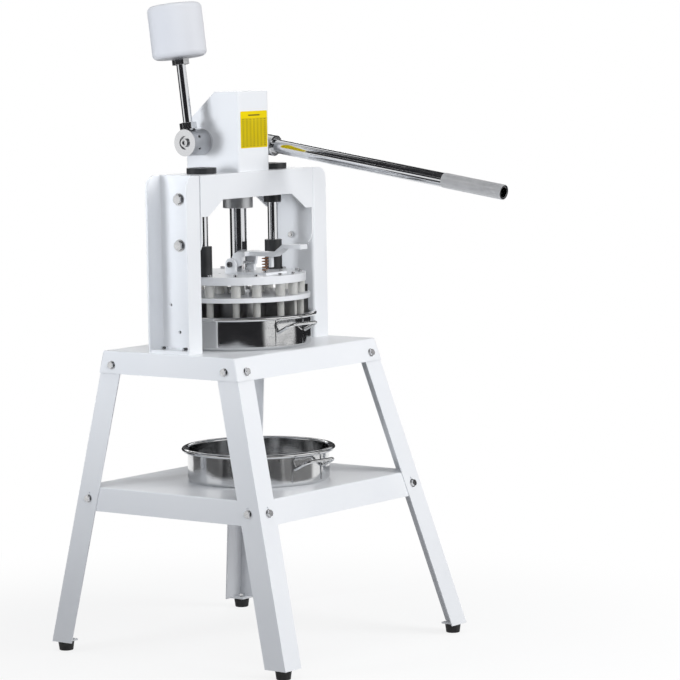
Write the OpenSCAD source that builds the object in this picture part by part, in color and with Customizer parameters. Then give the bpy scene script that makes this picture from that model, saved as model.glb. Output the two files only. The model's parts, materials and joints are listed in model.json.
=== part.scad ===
// Dough divider: a lever press with rack and pinion, a knife head, two pans and a splayed stand.
// X points right as one faces the lever, Y to the back, Z up; the origin is on the floor under the ram.
// Lengths are in millimetres and angles in degrees.

/* [Stand] */
// Height of the table top above the floor
table_z = 720; // [650:1:800]
// Width of the table top beyond each post
table_margin = 6; // [2:1:50]
// Depth of the table top from front to back
table_d = 400; // [385:1:480]
// Height of the folded edge of the table
table_apron_h = 53; // [40:1:70]
// Height of the shelf top above the floor
shelf_z = 397; // [300:1:450]
// Height of the folded edge of the shelf
shelf_apron_h = 57; // [40:1:70]
// Sheet thickness of table, shelf and legs
sheet_t = 3; // [2:0.5:4]
// Width of each flange of a leg
leg_w = 60; // [55:1:80]
// Lean of the legs to the sides
side_splay = 7.3; // [3:0.1:10]
// Lean of the front legs to the front
front_splay = 16.3; // [8:0.1:20]
// Lean of the back legs to the back
back_splay = 8.9; // [4:0.1:14]

/* [Feet] */
// Height of a rubber foot
foot_h = 22; // [14:1:40]
// Diameter of a rubber foot at its top
foot_top_d = 39; // [30:1:46]
// Diameter of a rubber foot on the floor
foot_base_d = 33; // [24:1:46]
// Width of the plate welded into the end of a leg
foot_plate_w = 40; // [34:1:52]
// Thickness of that plate
foot_plate_t = 4; // [3:0.5:8]

/* [Posts] */
// Clear width between the two posts
throat_w = 431; // [420:1:440]
// Depth of a post from front to back
post_d = 124; // [112:1:140]
// Height of a post above the table
post_h = 417; // [410:1:450]
// Width of a post from its web to the edge of its flanges
post_flange_w = 53.5; // [45:0.5:55]
// Sheet thickness of a post
post_t = 5; // [4:0.5:6]
// Outer bend radius of a post
post_bend_r = 8; // [7:0.5:12]
// Rounding of the upper outer corners of a post
post_corner_r = 30; // [10:1:40]
// Thickness of the base plate in a post
post_base_t = 8; // [6:0.5:12]
// Distance between the two base bolts of a post
base_bolt_gap = 66; // [50:1:80]

/* [Beam] */
// Sheet thickness of the beam
beam_t = 5; // [4:0.5:6]
// Height of the beam flange in the middle
beam_flange_h = 60; // [45:1:66]
// Height of the beam flange at its ends
beam_end_h = 97; // [80:1:110]
// Width of the deep part at each end
beam_end_w = 28; // [15:1:40]
// Width of the slope between the deep part and the middle
beam_haunch_w = 55; // [30:1:60]
// Height of the end tabs
beam_tab_h = 196; // [180:1:220]
// Rounding of the lower corners of the end tabs
beam_tab_r = 45; // [20:1:55]
// Depth of the upper beam bolt below the beam top
beam_bolt_up = 56; // [40:1:70]
// Depth of the lower beam bolt below the beam top
beam_bolt_low = 165; // [140:1:170]

/* [Gear housing] */
// Width of the housing
housing_w = 118; // [110:1:122]
// Height of the housing
housing_h = 191; // [188:1:210]
// Reach of the housing in front of the ram axis
housing_front = 53; // [40:1:60]
// Reach of the housing behind the ram axis
housing_back = 109; // [104:1:120]
// Height of the back wall below the sloped lid
housing_back_h = 113; // [100:1:130]
// Depth of the level part of the lid
housing_lid_d = 70.5; // [62:0.5:90]
// Wall thickness of the housing
housing_t = 4; // [2.5:0.5:5]
// Outer bend radius of the upright edges of the housing
housing_bend_r = 7; // [3:0.5:9]

/* [Drive] */
// Module of rack and pinion
gear_module = 2.5; // [2.4:0.1:2.6]
// Number of pinion teeth
pinion_teeth = 30; // [29:1:31]
// Width of the pinion
pinion_w = 32; // [24:1:40]
// Thinning of each tooth for backlash
tooth_play = 0.16; // [0.1:0.02:0.3]
// Turn of the lever that lifts the press
lift_turn = 107; // [90:1:108]
// Diameter of the pinion shaft
shaft_d = 30; // [24:1:34]
// Height of the shaft above the beam
shaft_rise = 72; // [66:1:78]
// Diameter of the ram
ram_d = 40; // [36:1:44]
// Depth of the flat on the ram that carries the teeth
rack_flat = 1; // [0.6:0.1:1.6]
// Height of the ram above the beam
ram_rise = 106; // [95:1:110]
// Diameter of the collar that guides the ram
collar_d = 72; // [60:1:80]
// Reach of the collar below the beam top
collar_drop = 88; // [70:1:95]
// Diameter of the flange of a shaft bush
shaft_bush_flange_d = 58; // [48:1:60]
// Thickness of the flange of a shaft bush
shaft_bush_flange_t = 9.5; // [6:0.5:12]
// Outer diameter of a shaft bush
shaft_bush_d = 42; // [38:1:46]
// Length of a shaft bush inside the housing
shaft_bush_in = 14; // [8:1:20]

/* [Lever] */
// Reach of the lever from the shaft axis
lever_reach = 768; // [600:1:900]
// Slope of the lever below level
lever_droop = 8.6; // [4:0.1:10]
// Diameter of the lever tube
lever_d = 33.7; // [25:0.1:38]
// Wall thickness of the lever tube
lever_wall = 4.5; // [2:0.1:6]
// Thickness of the ribbed grip sleeve
grip_t = 0.9; // [0.6:0.1:3]
// Depth of the grooves between the ribs of the grip
grip_groove = 0.4; // [0.2:0.05:0.5]
// Number of ribs around the grip
grip_ribs = 60; // [40:1:80]
// Length of the grip
grip_len = 167; // [120:1:240]
// Diameter of the lever socket
socket_d = 50; // [40:1:52]
// Reach of the lever socket from the shaft axis
socket_len = 102; // [80:1:115]
// Diameter of the lever hub
lever_hub_d = 62; // [56:1:68]
// Width of the lever hub
lever_hub_w = 51; // [50:1:53]

/* [Counterweight] */
// Diameter of the counterweight hub
hub_d = 64; // [56:1:72]
// Width of the counterweight hub
hub_w = 61; // [50:1:64]
// Diameter of the counterweight
weight_d = 130; // [90:1:140]
// Height of the counterweight
weight_h = 128; // [70:1:140]
// Edge rounding of the counterweight
weight_edge_r = 13; // [4:1:20]
// Distance from the shaft axis to the counterweight
weight_reach = 202; // [190:1:240]
// Diameter of the counterweight arm
arm_d = 22; // [16:1:24]
// Lean of the arm to the back
arm_lean = 7.3; // [0:0.1:12]
// Width across the flats of the arm nuts
arm_nut_w = 36; // [30:1:40]
// Thickness of the arm nuts
arm_nut_t = 16; // [10:1:20]

/* [Guides] */
// Distance between the guide rods
rod_gap = 270; // [264:1:276]
// Diameter of a guide rod
rod_d = 25; // [20:1:28]
// Diameter of the flange of a guide bush
bush_flange_d = 71; // [60:1:74]
// Thickness of the flange of a guide bush
bush_flange_t = 14; // [8:1:18]
// Outer diameter of a guide bush
bush_d = 42; // [36:1:48]
// Reach of a guide bush below the beam top
bush_drop = 81; // [60:1:82]
// Outer diameter of a stop sleeve
sleeve_d = 42; // [36:1:46]
// Height of a stop sleeve
sleeve_h = 72; // [50:1:73]

/* [Press head] */
// Diameter of the press plate
plate_d = 320; // [316:1:336]
// Thickness of the press plate
plate_t = 19; // [16:1:20]
// Height of the press plate above the table
plate_rise = 154; // [152:1:155]
// Diameter of the knife carrier
carrier_d = 340; // [336:1:352]
// Thickness of the knife carrier
carrier_t = 11; // [8:1:13]
// Height of the knife carrier above the table
carrier_rise = 113; // [108:1:116]
// Diameter of a pillar between plate and carrier
pillar_d = 23; // [20:1:26]
// Diameter of a pillar below its shoulder
pillar_neck_d = 17; // [14:1:18]
// Radius of the circle of outer pillars
pillar_ring_r = 146; // [140:1:146]
// Angle between a pillar and the middle of its pad
pillar_turn = 12.75; // [11.5:0.25:13]
// Distance of the inner pillars from the middle, side to side
inner_pillar_x = 38; // [34:1:40]
// Distance of the inner pillars from the middle, front to back
inner_pillar_y = 31; // [30:1:36]
// Diameter of the foot of the ram
ram_foot_d = 62; // [56:1:64]
// Height of the foot of the ram
ram_foot_h = 10; // [6:1:14]
// Diameter of a rubber bumper
bumper_d = 15; // [10:1:16]
// Height of a rubber bumper
bumper_h = 17; // [10:1:24]

/* [Knives and pads] */
// Height of the knife edges above the table
knife_rise = 12; // [11.5:0.5:16]
// Thickness of the knives
knife_t = 2; // [1.5:0.1:2.5]
// Height of the sharpened edge
knife_bevel = 5; // [3:0.5:8]
// Outer diameter of the round knife
knife_ring_d = 156; // [150:1:160]
// Reach of the radial knives from the middle
knife_reach = 166; // [160:0.5:167]
// Thickness of the pads
pad_t = 14; // [10:1:18]
// Gap between a pad and the knives
pad_gap = 1; // [0.6:0.1:2]

/* [Latch] */
// Width of the latch bracket
bracket_w = 80; // [78:1:90]
// Reach of the latch bracket in front of the ram axis
bracket_front = 114; // [112:1:130]
// Reach of the latch bracket behind the ram axis
bracket_back = 12; // [8:1:30]
// Thickness of the base of the bracket
bracket_t = 5; // [4:0.5:7]
// Thickness of the ears of the bracket
ear_t = 8; // [6:0.5:9]
// Height of the latch pivot above the press plate
pivot_rise = 22; // [20:0.5:24]
// Distance of the latch pivot in front of the ram axis
pivot_front = 5; // [3:0.5:7]
// Radius of the bracket ears
ear_r = 15; // [12:0.5:16]
// Diameter of the latch pivots
pivot_d = 8; // [6:0.5:9]
// Thickness of the yoke arms
yoke_t = 8; // [6:0.5:9]
// Radius of the yoke arms at the pivot
yoke_r = 10; // [8:0.5:11]
// Height of the latch arm above the press plate
latch_rise = 42; // [40:0.5:44]
// Thickness of the latch arm
latch_t = 11; // [8:0.5:13]
// Width of the latch arm
latch_w = 26; // [20:1:34]
// Rise of the latch handle above the latch arm
handle_lift = 20; // [10:1:26]
// Reach of the latch handle from the ram axis
handle_reach = 198; // [188:1:230]
// Height of the finger under the latch arm
finger_h = 26; // [10:1:27]
// Distance of the spring in front of the ram axis
spring_front = 80; // [74:1:86]
// Outer diameter of the spring
spring_d = 17; // [13:0.5:20]
// Wire diameter of the spring
spring_wire = 2.2; // [1.6:0.1:2.6]
// Number of curls of the spring
spring_curls = 5; // [4:1:6]
// Press of the latch handle
latch_turn = 5; // [3:0.5:6]

/* [Pans] */
// Diameter of a pan wall
pan_d = 342; // [340:1:350]
// Height of a pan
pan_h = 80; // [70:1:85]
// Sheet thickness of a pan
pan_t = 1.5; // [1:0.1:2]
// Bottom corner radius of a pan
pan_corner_r = 8; // [4:0.5:14]
// Reach of a pan rim beyond the pan wall
rim_out = 14; // [12:0.5:20]
// Thickness of the rolled rim
rim_roll_d = 10; // [7:0.5:11]
// Width of the pan handle
pan_handle_w = 103; // [80:1:130]
// Reach of the pan handle beyond the rim
pan_handle_out = 23; // [15:1:35]
// Diameter of the handle rod
pan_handle_d = 8; // [6:0.5:10]
// Slope of the pan handle
pan_handle_slope = 26; // [10:1:32]
// Height of the handle root above the pan bottom
pan_handle_z = 40; // [34:1:46]
// Turn of the press pan, as it was set down
press_pan_turn = -4; // [-30:1:30]
// Turn of the shelf pan, as it was set down
shelf_pan_turn = -6; // [-30:1:30]
// Distance of the shelf pan in front of the ram axis
shelf_pan_front = 49; // [20:1:70]

/* [Fasteners] */
// Diameter of the stand bolts
bolt_d = 8; // [6:1:10]
// Width across the flats of the stand bolts
bolt_head_w = 15; // [13:0.5:17]
// Head height of the stand bolts
bolt_head_h = 6; // [4:0.5:8]
// Washer diameter of the stand bolts
washer_d = 20; // [18:0.5:22]
// Washer thickness of the stand bolts
washer_t = 1.6; // [1:0.1:2.5]
// Nut height of the stand bolts
nut_h = 6.5; // [5:0.5:8]
// Distance of the stand bolts from the edge of a leg
bolt_inset = 36; // [30:1:42]
// Diameter of the beam bolts
beam_bolt_d = 9; // [8:0.5:10]
// Width across the flats of the beam bolts
beam_bolt_head_w = 21; // [18:0.5:24]
// Width across the flats of the beam nuts
beam_nut_w = 14; // [13:0.5:17]
// Head height of the beam bolts
beam_bolt_head_h = 8; // [6:0.5:10]
// Washer diameter of the beam bolts
beam_washer_d = 30; // [26:0.5:34]
// Diameter of the small screws
screw_d = 6; // [5:0.5:7]
// Head diameter of the small screws
screw_head_d = 10; // [9:0.5:12]
// Head height of the small screws
screw_head_h = 5; // [4:0.5:6]
// Play around a bolt in its hole
hole_play = 0.5; // [0.3:0.1:1]
// Radial play of a running fit
run_play = 0.05; // [0.02:0.01:0.1]
// Gap kept between faces that do not touch
face_gap = 0.4; // [0.3:0.1:0.6]
// Overrun of a cut past the face that it opens
overrun = 1; // [0.5:0.5:2]

/* [Hidden] */
$fn = 48;
hex_sides = 6;
pad_count = 8;
half_turn = 180;
pressure_angle = 20;
addendum_share = 1;
dedendum_share = 1.25;
flank_steps = 4;

table_w = throat_w + 2 * post_flange_w + 2 * table_margin;
beam_z = table_z + post_h;
shaft_z = beam_z + shaft_rise;
ram_r = ram_d / 2;
tooth_pitch = PI * gear_module;
pitch_r = gear_module * pinion_teeth / 2;
base_r = pitch_r * cos(pressure_angle);
tip_r = pitch_r + addendum_share * gear_module;
root_r = pitch_r - dedendum_share * gear_module;
rack_tip_y = ram_r - rack_flat;
rack_line_y = rack_tip_y - addendum_share * gear_module;
rack_root_y = rack_line_y - dedendum_share * gear_module;
shaft_y = rack_line_y + pitch_r;
lift = pitch_r * lift_turn * PI / half_turn;
rack_down = ceil((lift + tip_r / 2) / tooth_pitch);
rack_up = floor((ram_rise - shaft_rise) / tooth_pitch - 0.5);
ram_top_z = beam_z + ram_rise;
side_x = housing_w / 2 + shaft_bush_flange_t + face_gap;
lever_x = side_x + lever_hub_w / 2;
lever_bore = lever_d - 2 * lever_wall;
grip_d = lever_d + 2 * grip_t;
bore_facets = 180;
arm_place_share = 0.66;
arm_x = -side_x - hub_w * arm_place_share;
arm_root = 0.6 * shaft_d;
shaft_left_x = -side_x - hub_w * 0.85;
shaft_right_x = side_x + lever_hub_w * 0.85;

plate_z = table_z + plate_rise;
plate_top_z = plate_z + plate_t;
carrier_z = table_z + carrier_rise;
carrier_top_z = carrier_z + carrier_t;
knife_z = table_z + knife_rise;
knife_h = carrier_z - knife_z;
knife_ring_r = knife_ring_d / 2;
pad_top_z = knife_z + pad_t;
pad_out_r = knife_reach + pad_gap / 2;
sector = 2 * half_turn / pad_count;
rod_top_z = beam_z + bush_flange_t / 2;
pivot_z = plate_top_z + pivot_rise;
latch_z = plate_top_z + latch_rise;
ear_x = bracket_w / 2 - ear_t;
yoke_x = ear_x - face_gap - yoke_t;
bridge_back = ram_r + 2 * face_gap;
bridge_front = bridge_back + 2 * latch_t;
tongue_depth = 2;
tongue_t = latch_t / 2;
tongue_z = latch_z + latch_t / 4;
tongue_w = latch_w / 2;
head_lift = 20;
spring_r = (spring_d - spring_wire) / 2;
spring_low_z = plate_top_z + bracket_t + spring_wire / 2;
spring_high_z = latch_z - spring_wire / 2;
finger_y = spring_front + spring_d + tongue_t;
finger_t = latch_t * 0.7;
finger_w = latch_w * 0.4;
handle_bend_y = finger_y + finger_t + tongue_t;
handle_rise_y = handle_bend_y + 1.4 * handle_lift;

leg_low_z = foot_h;
leg_high_z = table_z - sheet_t;
table_bolt_z = table_z - 0.62 * table_apron_h;
shelf_bolt_z = shelf_z - shelf_apron_h / 2;
base_bolt_x = throat_w / 2 + post_t + (post_flange_w - post_t) / 2;
pan_r = pan_d / 2;
rim_r = pan_r + rim_out;

white = [0.9, 0.91, 0.93];
steel = [0.7, 0.71, 0.73];
dark_steel = [0.5, 0.51, 0.53];
black = [0.08, 0.08, 0.09];
copper = [0.72, 0.45, 0.28];

// Outer faces of the stand at a height: side, front and back
function side_reach(z) = table_w / 2 + (table_z - z) * tan(side_splay);
function front_reach(z) = table_d / 2 + (table_z - z) * tan(front_splay);
function back_reach(z) = table_d / 2 + (table_z - z) * tan(back_splay);
function end_reach(front, z) = front ? front_reach(z) : back_reach(z);
function polar(r, a) = [r * sin(a), -r * cos(a)];

// Helpers
module flip_x(on) { if (on) mirror([1, 0, 0]) children(); else children(); }
module flip_y(on) { if (on) mirror([0, 1, 0]) children(); else children(); }
module along_x() { rotate([0, 90, 0]) children(); }
module side_outline(width) { rotate([90, 0, 90]) linear_extrude(width, center = true) children(); }
module rod(diameter, length) { cylinder(d = diameter, h = length); }
module ring(outer, inner, length) {
  difference() {
    cylinder(d = outer, h = length);
    translate([0, 0, -overrun]) cylinder(d = inner, h = length + 2 * overrun);
  }
}
module hex(width, length) { cylinder(d = width / cos(half_turn / hex_sides), h = length, $fn = hex_sides); }
module loft(lower, upper) {
  n = len(lower);
  polyhedron(concat(lower, upper), concat([[for (i = [0:n - 1]) i]], [[for (i = [0:n - 1]) 2 * n - 1 - i]],
    [for (i = [0:n - 1]) [i, i + n, (i + 1) % n + n, (i + 1) % n]]));
}
module flared_block(low, high, inset) {
  corners = [for (z = [low, high]) [[-side_reach(z) + inset, -front_reach(z) + inset, z],
    [side_reach(z) - inset, -front_reach(z) + inset, z], [side_reach(z) - inset, back_reach(z) - inset, z],
    [-side_reach(z) + inset, back_reach(z) - inset, z]]];
  loft(corners[0], corners[1]);
}
module screw(diameter, length, head, head_height) {
  difference() {
    union() {
      translate([0, 0, -length]) rod(diameter, length);
      rod(head, head_height);
    }
    translate([0, 0, head_height / 2]) hex(head / 2, head_height);
  }
}
module hex_bolt(diameter, length, head, head_height, washer) {
  translate([0, 0, -length]) rod(diameter, length + washer_t);
  rod(washer, washer_t);
  translate([0, 0, washer_t]) intersection() {
    hex(head, head_height);
    cylinder(d1 = 2 * head, d2 = head, h = head_height);
  }
}
module hex_nut(diameter, width, height) {
  difference() {
    hex(width, height);
    translate([0, 0, -overrun]) rod(diameter + 2 * run_play, height + 2 * overrun);
  }
}

// Stand: places of the leg bolts on the sloped faces
module on_side(right, front, z, inset) {
  flip_x(!right) translate([side_reach(z) - inset, (front ? -1 : 1) * (end_reach(front, z) - bolt_inset), z])
    rotate([0, 90 - side_splay, 0]) children();
}
module on_end(right, front, z, inset) {
  splay = front ? front_splay : back_splay;
  flip_x(!right) flip_y(front) translate([side_reach(z) - bolt_inset, end_reach(front, z) - inset, z])
    rotate([splay - 90, 0, 0]) children();
}
module leg_bolts(z, inset) {
  for (right = [false, true]) for (front = [false, true]) {
    on_side(right, front, z, inset) children();
    on_end(right, front, z, inset) children();
  }
}
module stand_hole() { translate([0, 0, -4 * sheet_t]) rod(bolt_d + hole_play, 8 * sheet_t); }
module key_hole() { translate([0, 0, -4 * sheet_t]) rod(0.75 * bolt_d, 8 * sheet_t); }
module base_bolts(z) {
  for (side = [-1, 1]) for (end = [-1, 1])
    translate([side * base_bolt_x, end * base_bolt_gap / 2, z]) children();
}
module table_top() {
  color(white) difference() {
    flared_block(table_z - table_apron_h, table_z, 0);
    flared_block(table_z - table_apron_h - overrun, table_z - sheet_t, sheet_t);
    leg_bolts(table_bolt_z, 0) stand_hole();
    base_bolts(table_z) stand_hole();
  }
}
module shelf() {
  color(white) difference() {
    flared_block(shelf_z - shelf_apron_h, shelf_z, 2 * sheet_t);
    flared_block(shelf_z - shelf_apron_h - overrun, shelf_z - sheet_t, 3 * sheet_t);
    leg_bolts(shelf_bolt_z, sheet_t) stand_hole();
  }
}
leg_angle = [[0, 0], [leg_w, 0], [leg_w, sheet_t], [sheet_t, sheet_t], [sheet_t, leg_w], [0, leg_w]];
function leg_edge(front, z) = [for (p = leg_angle)
  [side_reach(z) - sheet_t - p.x, end_reach(front, z) - sheet_t - p.y, z]];
module leg(right, front) {
  key_z = shelf_bolt_z + 0.6 * washer_d;
  color(white) difference() {
    flip_x(!right) flip_y(front) loft(leg_edge(front, leg_low_z), leg_edge(front, leg_high_z));
    on_side(right, front, table_bolt_z, 0) stand_hole();
    on_end(right, front, table_bolt_z, 0) stand_hole();
    on_side(right, front, shelf_bolt_z, sheet_t) stand_hole();
    on_end(right, front, shelf_bolt_z, sheet_t) stand_hole();
    on_side(right, front, key_z, sheet_t) key_hole();
    on_end(right, front, key_z, sheet_t) key_hole();
  }
}
module leg_front_left() { leg(false, true); }
module leg_front_right() { leg(true, true); }
module leg_back_left() { leg(false, false); }
module leg_back_right() { leg(true, false); }
module at_feet(z) {
  top = foot_h + foot_plate_t;
  for (right = [false, true]) for (front = [false, true]) flip_x(!right) flip_y(front)
    translate([side_reach(top) - 2 * sheet_t - foot_plate_w / 2,
      end_reach(front, top) - 2 * sheet_t - foot_plate_w / 2, z]) children();
}
module foot_plates() {
  color(white) at_feet(foot_h) difference() {
    translate([-foot_plate_w / 2, -foot_plate_w / 2, 0]) cube([foot_plate_w, foot_plate_w, foot_plate_t]);
    translate([0, 0, -overrun]) rod(bolt_d + hole_play, foot_plate_t + 2 * overrun);
  }
}
module rubber_feet() {
  color(black) at_feet(0) difference() {
    cylinder(d1 = foot_base_d, d2 = foot_top_d, h = foot_h);
    translate([0, 0, foot_h / 3]) rod(bolt_d, foot_h);
  }
}
module foot_screws() {
  color(steel) at_feet(foot_h + foot_plate_t)
    hex_bolt(bolt_d, foot_plate_t + foot_h / 2, bolt_head_w, bolt_head_h, washer_d);
}
module table_bolts() {
  color(steel) leg_bolts(table_bolt_z, 0)
    hex_bolt(bolt_d, 2 * sheet_t + 1.2 * nut_h, bolt_head_w, bolt_head_h, washer_d);
}
module shelf_bolts() {
  color(steel) leg_bolts(shelf_bolt_z, sheet_t)
    hex_bolt(bolt_d, 2 * sheet_t + 1.2 * nut_h, bolt_head_w, bolt_head_h, washer_d);
}
module post_base_bolts() {
  color(steel) base_bolts(table_z + post_base_t)
    hex_bolt(bolt_d, post_base_t + sheet_t + 1.2 * nut_h, bolt_head_w, bolt_head_h, washer_d);
}
module stand_nuts() {
  color(steel) {
    leg_bolts(table_bolt_z, 0) translate([0, 0, -2 * sheet_t - nut_h]) hex_nut(bolt_d, bolt_head_w, nut_h);
    leg_bolts(shelf_bolt_z, sheet_t) translate([0, 0, -2 * sheet_t - nut_h])
      hex_nut(bolt_d, bolt_head_w, nut_h);
    base_bolts(table_z - sheet_t - nut_h) hex_nut(bolt_d, bolt_head_w, nut_h);
  }
}

// Posts and beam
module post_section() {
  inner_r = post_bend_r - post_t;
  difference() {
    union() {
      translate([post_bend_r, -post_d / 2]) square([post_flange_w - post_bend_r, post_d]);
      translate([0, post_bend_r - post_d / 2]) square([2 * post_bend_r, post_d - 2 * post_bend_r]);
      for (end = [-1, 1]) translate([post_bend_r, end * (post_d / 2 - post_bend_r)]) circle(post_bend_r);
    }
    translate([post_bend_r, post_t - post_d / 2]) square([post_flange_w, post_d - 2 * post_t]);
    translate([post_t, post_bend_r - post_d / 2]) square([2 * post_bend_r, post_d - 2 * post_bend_r]);
    for (end = [-1, 1]) translate([post_bend_r, end * (post_d / 2 - post_bend_r)]) circle(inner_r);
  }
}
module post_side() {
  square([post_flange_w - post_corner_r, post_h]);
  square([post_flange_w, post_h - post_corner_r]);
  translate([post_flange_w - post_corner_r, post_h - post_corner_r]) circle(post_corner_r);
}
module beam_bolt_places(x) {
  for (drop = [beam_bolt_up, beam_bolt_low]) translate([x, 0, beam_z - drop]) along_x() children();
}
module post_right() {
  small_hole_z = table_z + 0.267 * post_h;
  small_hole_y = 0.87 * bolt_inset;
  low_hole_y = 0.15 * bolt_inset;
  low_hole_z = small_hole_z - 1.78 * bolt_inset;
  color(white) difference() {
    translate([throat_w / 2, 0, table_z]) {
      intersection() {
        linear_extrude(post_h) post_section();
        rotate([90, 0, 0]) linear_extrude(2 * post_d, center = true) post_side();
      }
      translate([post_t / 2, post_t - post_d / 2, 0])
        cube([post_flange_w - post_t, post_d - 2 * post_t, post_base_t]);
    }
    beam_bolt_places(throat_w / 2 - post_t) rod(beam_bolt_d + hole_play, 3 * post_t);
    translate([throat_w / 2 - post_t, small_hole_y, small_hole_z]) along_x() rod(bolt_d, 3 * post_t);
    translate([throat_w / 2 - post_t, low_hole_y, low_hole_z]) along_x() rod(bolt_d, 3 * post_t);
    base_bolts(table_z - overrun) rod(bolt_d + hole_play, post_base_t + 2 * overrun);
  }
}
module post_left() { mirror([1, 0, 0]) post_right(); }
module beam_flange() {
  end_x = throat_w / 2;
  deep_x = end_x - beam_end_w;
  flat_x = deep_x - beam_haunch_w;
  polygon([[-end_x, 0], [-end_x, -beam_end_h], [-deep_x, -beam_end_h], [-flat_x, -beam_flange_h],
    [flat_x, -beam_flange_h], [deep_x, -beam_end_h], [end_x, -beam_end_h], [end_x, 0]]);
}
module beam_tab() {
  translate([-post_d / 2, beam_tab_r - beam_tab_h]) square([post_d, beam_tab_h - beam_tab_r]);
  translate([beam_tab_r - post_d / 2, -beam_tab_h]) square([post_d - 2 * beam_tab_r, beam_tab_h]);
  for (end = [-1, 1]) translate([end * (post_d / 2 - beam_tab_r), beam_tab_r - beam_tab_h])
    circle(beam_tab_r);
}
module beam() {
  color(white) difference() {
    translate([0, 0, beam_z]) {
      translate([-throat_w / 2, -post_d / 2, -beam_t]) cube([throat_w, post_d, beam_t]);
      for (end = [-1, 1]) {
        translate([0, end * (post_d - beam_t) / 2, 0]) rotate([90, 0, 0])
          linear_extrude(beam_t, center = true) beam_flange();
        translate([end * (throat_w - beam_t) / 2, 0, 0]) side_outline(beam_t) beam_tab();
      }
    }
    translate([0, 0, beam_z - 2 * beam_t]) rod(ram_d + 4 * hole_play, 3 * beam_t);
    for (side = [-1, 1]) {
      translate([side * rod_gap / 2, 0, beam_z - 2 * beam_t]) rod(bush_d + hole_play, 3 * beam_t);
      flip_x(side < 0) beam_bolt_places(throat_w / 2 - 2 * beam_t) rod(beam_bolt_d + hole_play, 3 * beam_t);
    }
  }
}
module beam_bolts() {
  color(steel) for (side = [-1, 1]) flip_x(side < 0) beam_bolt_places(throat_w / 2 + post_t)
    hex_bolt(beam_bolt_d, post_t + beam_t + 1.2 * beam_bolt_head_h, beam_bolt_head_w, beam_bolt_head_h,
      beam_washer_d);
}
module beam_nuts() {
  color(steel) for (side = [-1, 1]) flip_x(side < 0)
    beam_bolt_places(throat_w / 2 - beam_t - beam_bolt_head_h)
      hex_nut(beam_bolt_d, beam_nut_w, beam_bolt_head_h);
}

// Gear housing, shaft, pinion and ram
module housing_plan() {
  side = housing_w / 2 - housing_bend_r;
  length = housing_front + housing_back;
  translate([-side, -housing_front]) square([2 * side, length]);
  translate([-housing_w / 2, housing_bend_r - housing_front])
    square([housing_w, length - 2 * housing_bend_r]);
  for (x = [-side, side]) for (y = [housing_bend_r - housing_front, housing_back - housing_bend_r])
    translate([x, y]) circle(housing_bend_r);
}
module gear_housing() {
  lid_y = housing_lid_d - housing_front;
  slope = (housing_h - housing_back_h) / (lid_y - housing_back);
  drop = housing_t * sqrt(1 + slope * slope);
  back_y = housing_back - housing_t;
  color(white) difference() {
    translate([0, 0, beam_z]) intersection() {
      side_outline(housing_w) polygon([[-housing_front, 0], [housing_back, 0],
        [housing_back, housing_back_h], [lid_y, housing_h], [-housing_front, housing_h]]);
      linear_extrude(housing_h) housing_plan();
    }
    translate([0, 0, beam_z]) side_outline(housing_w - 2 * housing_t) polygon([
      [housing_t - housing_front, -overrun], [back_y, -overrun],
      [back_y, housing_back_h - slope * housing_t - drop],
      [housing_back + (housing_h - housing_t - housing_back_h + drop) / slope, housing_h - housing_t],
      [housing_t - housing_front, housing_h - housing_t]]);
    translate([-housing_w, shaft_y, shaft_z]) along_x() rod(shaft_bush_d, 2 * housing_w);
  }
}
module shaft_bushes() {
  color(dark_steel) for (side = [-1, 1]) flip_x(side < 0) translate([0, shaft_y, shaft_z]) along_x()
    difference() {
      union() {
        translate([0, 0, housing_w / 2]) rod(shaft_bush_flange_d, shaft_bush_flange_t);
        translate([0, 0, housing_w / 2 - shaft_bush_in])
          rod(shaft_bush_d, shaft_bush_in + shaft_bush_flange_t);
      }
      rod(shaft_d + 2 * run_play, housing_w);
    }
}
module pinion_shaft() {
  color(steel) translate([shaft_left_x, shaft_y, shaft_z]) along_x() difference() {
    rod(shaft_d, shaft_right_x - shaft_left_x);
    translate([0, 0, -overrun]) rod(screw_d, hub_w / 2);
  }
}
function involute(a) = tan(a) * half_turn / PI - a;
function flank_turn(r) = (tooth_pitch / 2 - tooth_play) / 2 / pitch_r * half_turn / PI
  + involute(pressure_angle) - (r > base_r ? involute(acos(base_r / r)) : 0);
module pinion_outline() {
  low_r = max(base_r, root_r);
  radii = concat([root_r], [for (i = [0:flank_steps]) low_r + (tip_r - low_r) * i / flank_steps]);
  last = len(radii) - 1;
  step = 2 * half_turn / pinion_teeth;
  polygon([for (k = [0:pinion_teeth - 1]) each concat(
    [for (i = [0:last]) let (a = half_turn + (k + 0.5) * step - flank_turn(radii[i]))
      radii[i] * [cos(a), sin(a)]],
    [for (i = [0:last]) let (a = half_turn + (k + 0.5) * step + flank_turn(radii[last - i]))
      radii[last - i] * [cos(a), sin(a)]])]);
}
module pinion() {
  color(dark_steel) translate([0, shaft_y, shaft_z]) difference() {
    side_outline(pinion_w) pinion_outline();
    translate([-pinion_w, 0, 0]) along_x() rod(shaft_d, 2 * pinion_w);
  }
}
module rack_gap() {
  tip = tooth_pitch / 4 + addendum_share * gear_module * tan(pressure_angle) + tooth_play / 4;
  root = tooth_pitch / 4 - dedendum_share * gear_module * tan(pressure_angle) + tooth_play / 4;
  rise = overrun * tan(pressure_angle);
  polygon([[rack_root_y, -root], [rack_tip_y + overrun, -tip - rise], [rack_tip_y + overrun, tip + rise],
    [rack_root_y, root]]);
}
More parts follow.
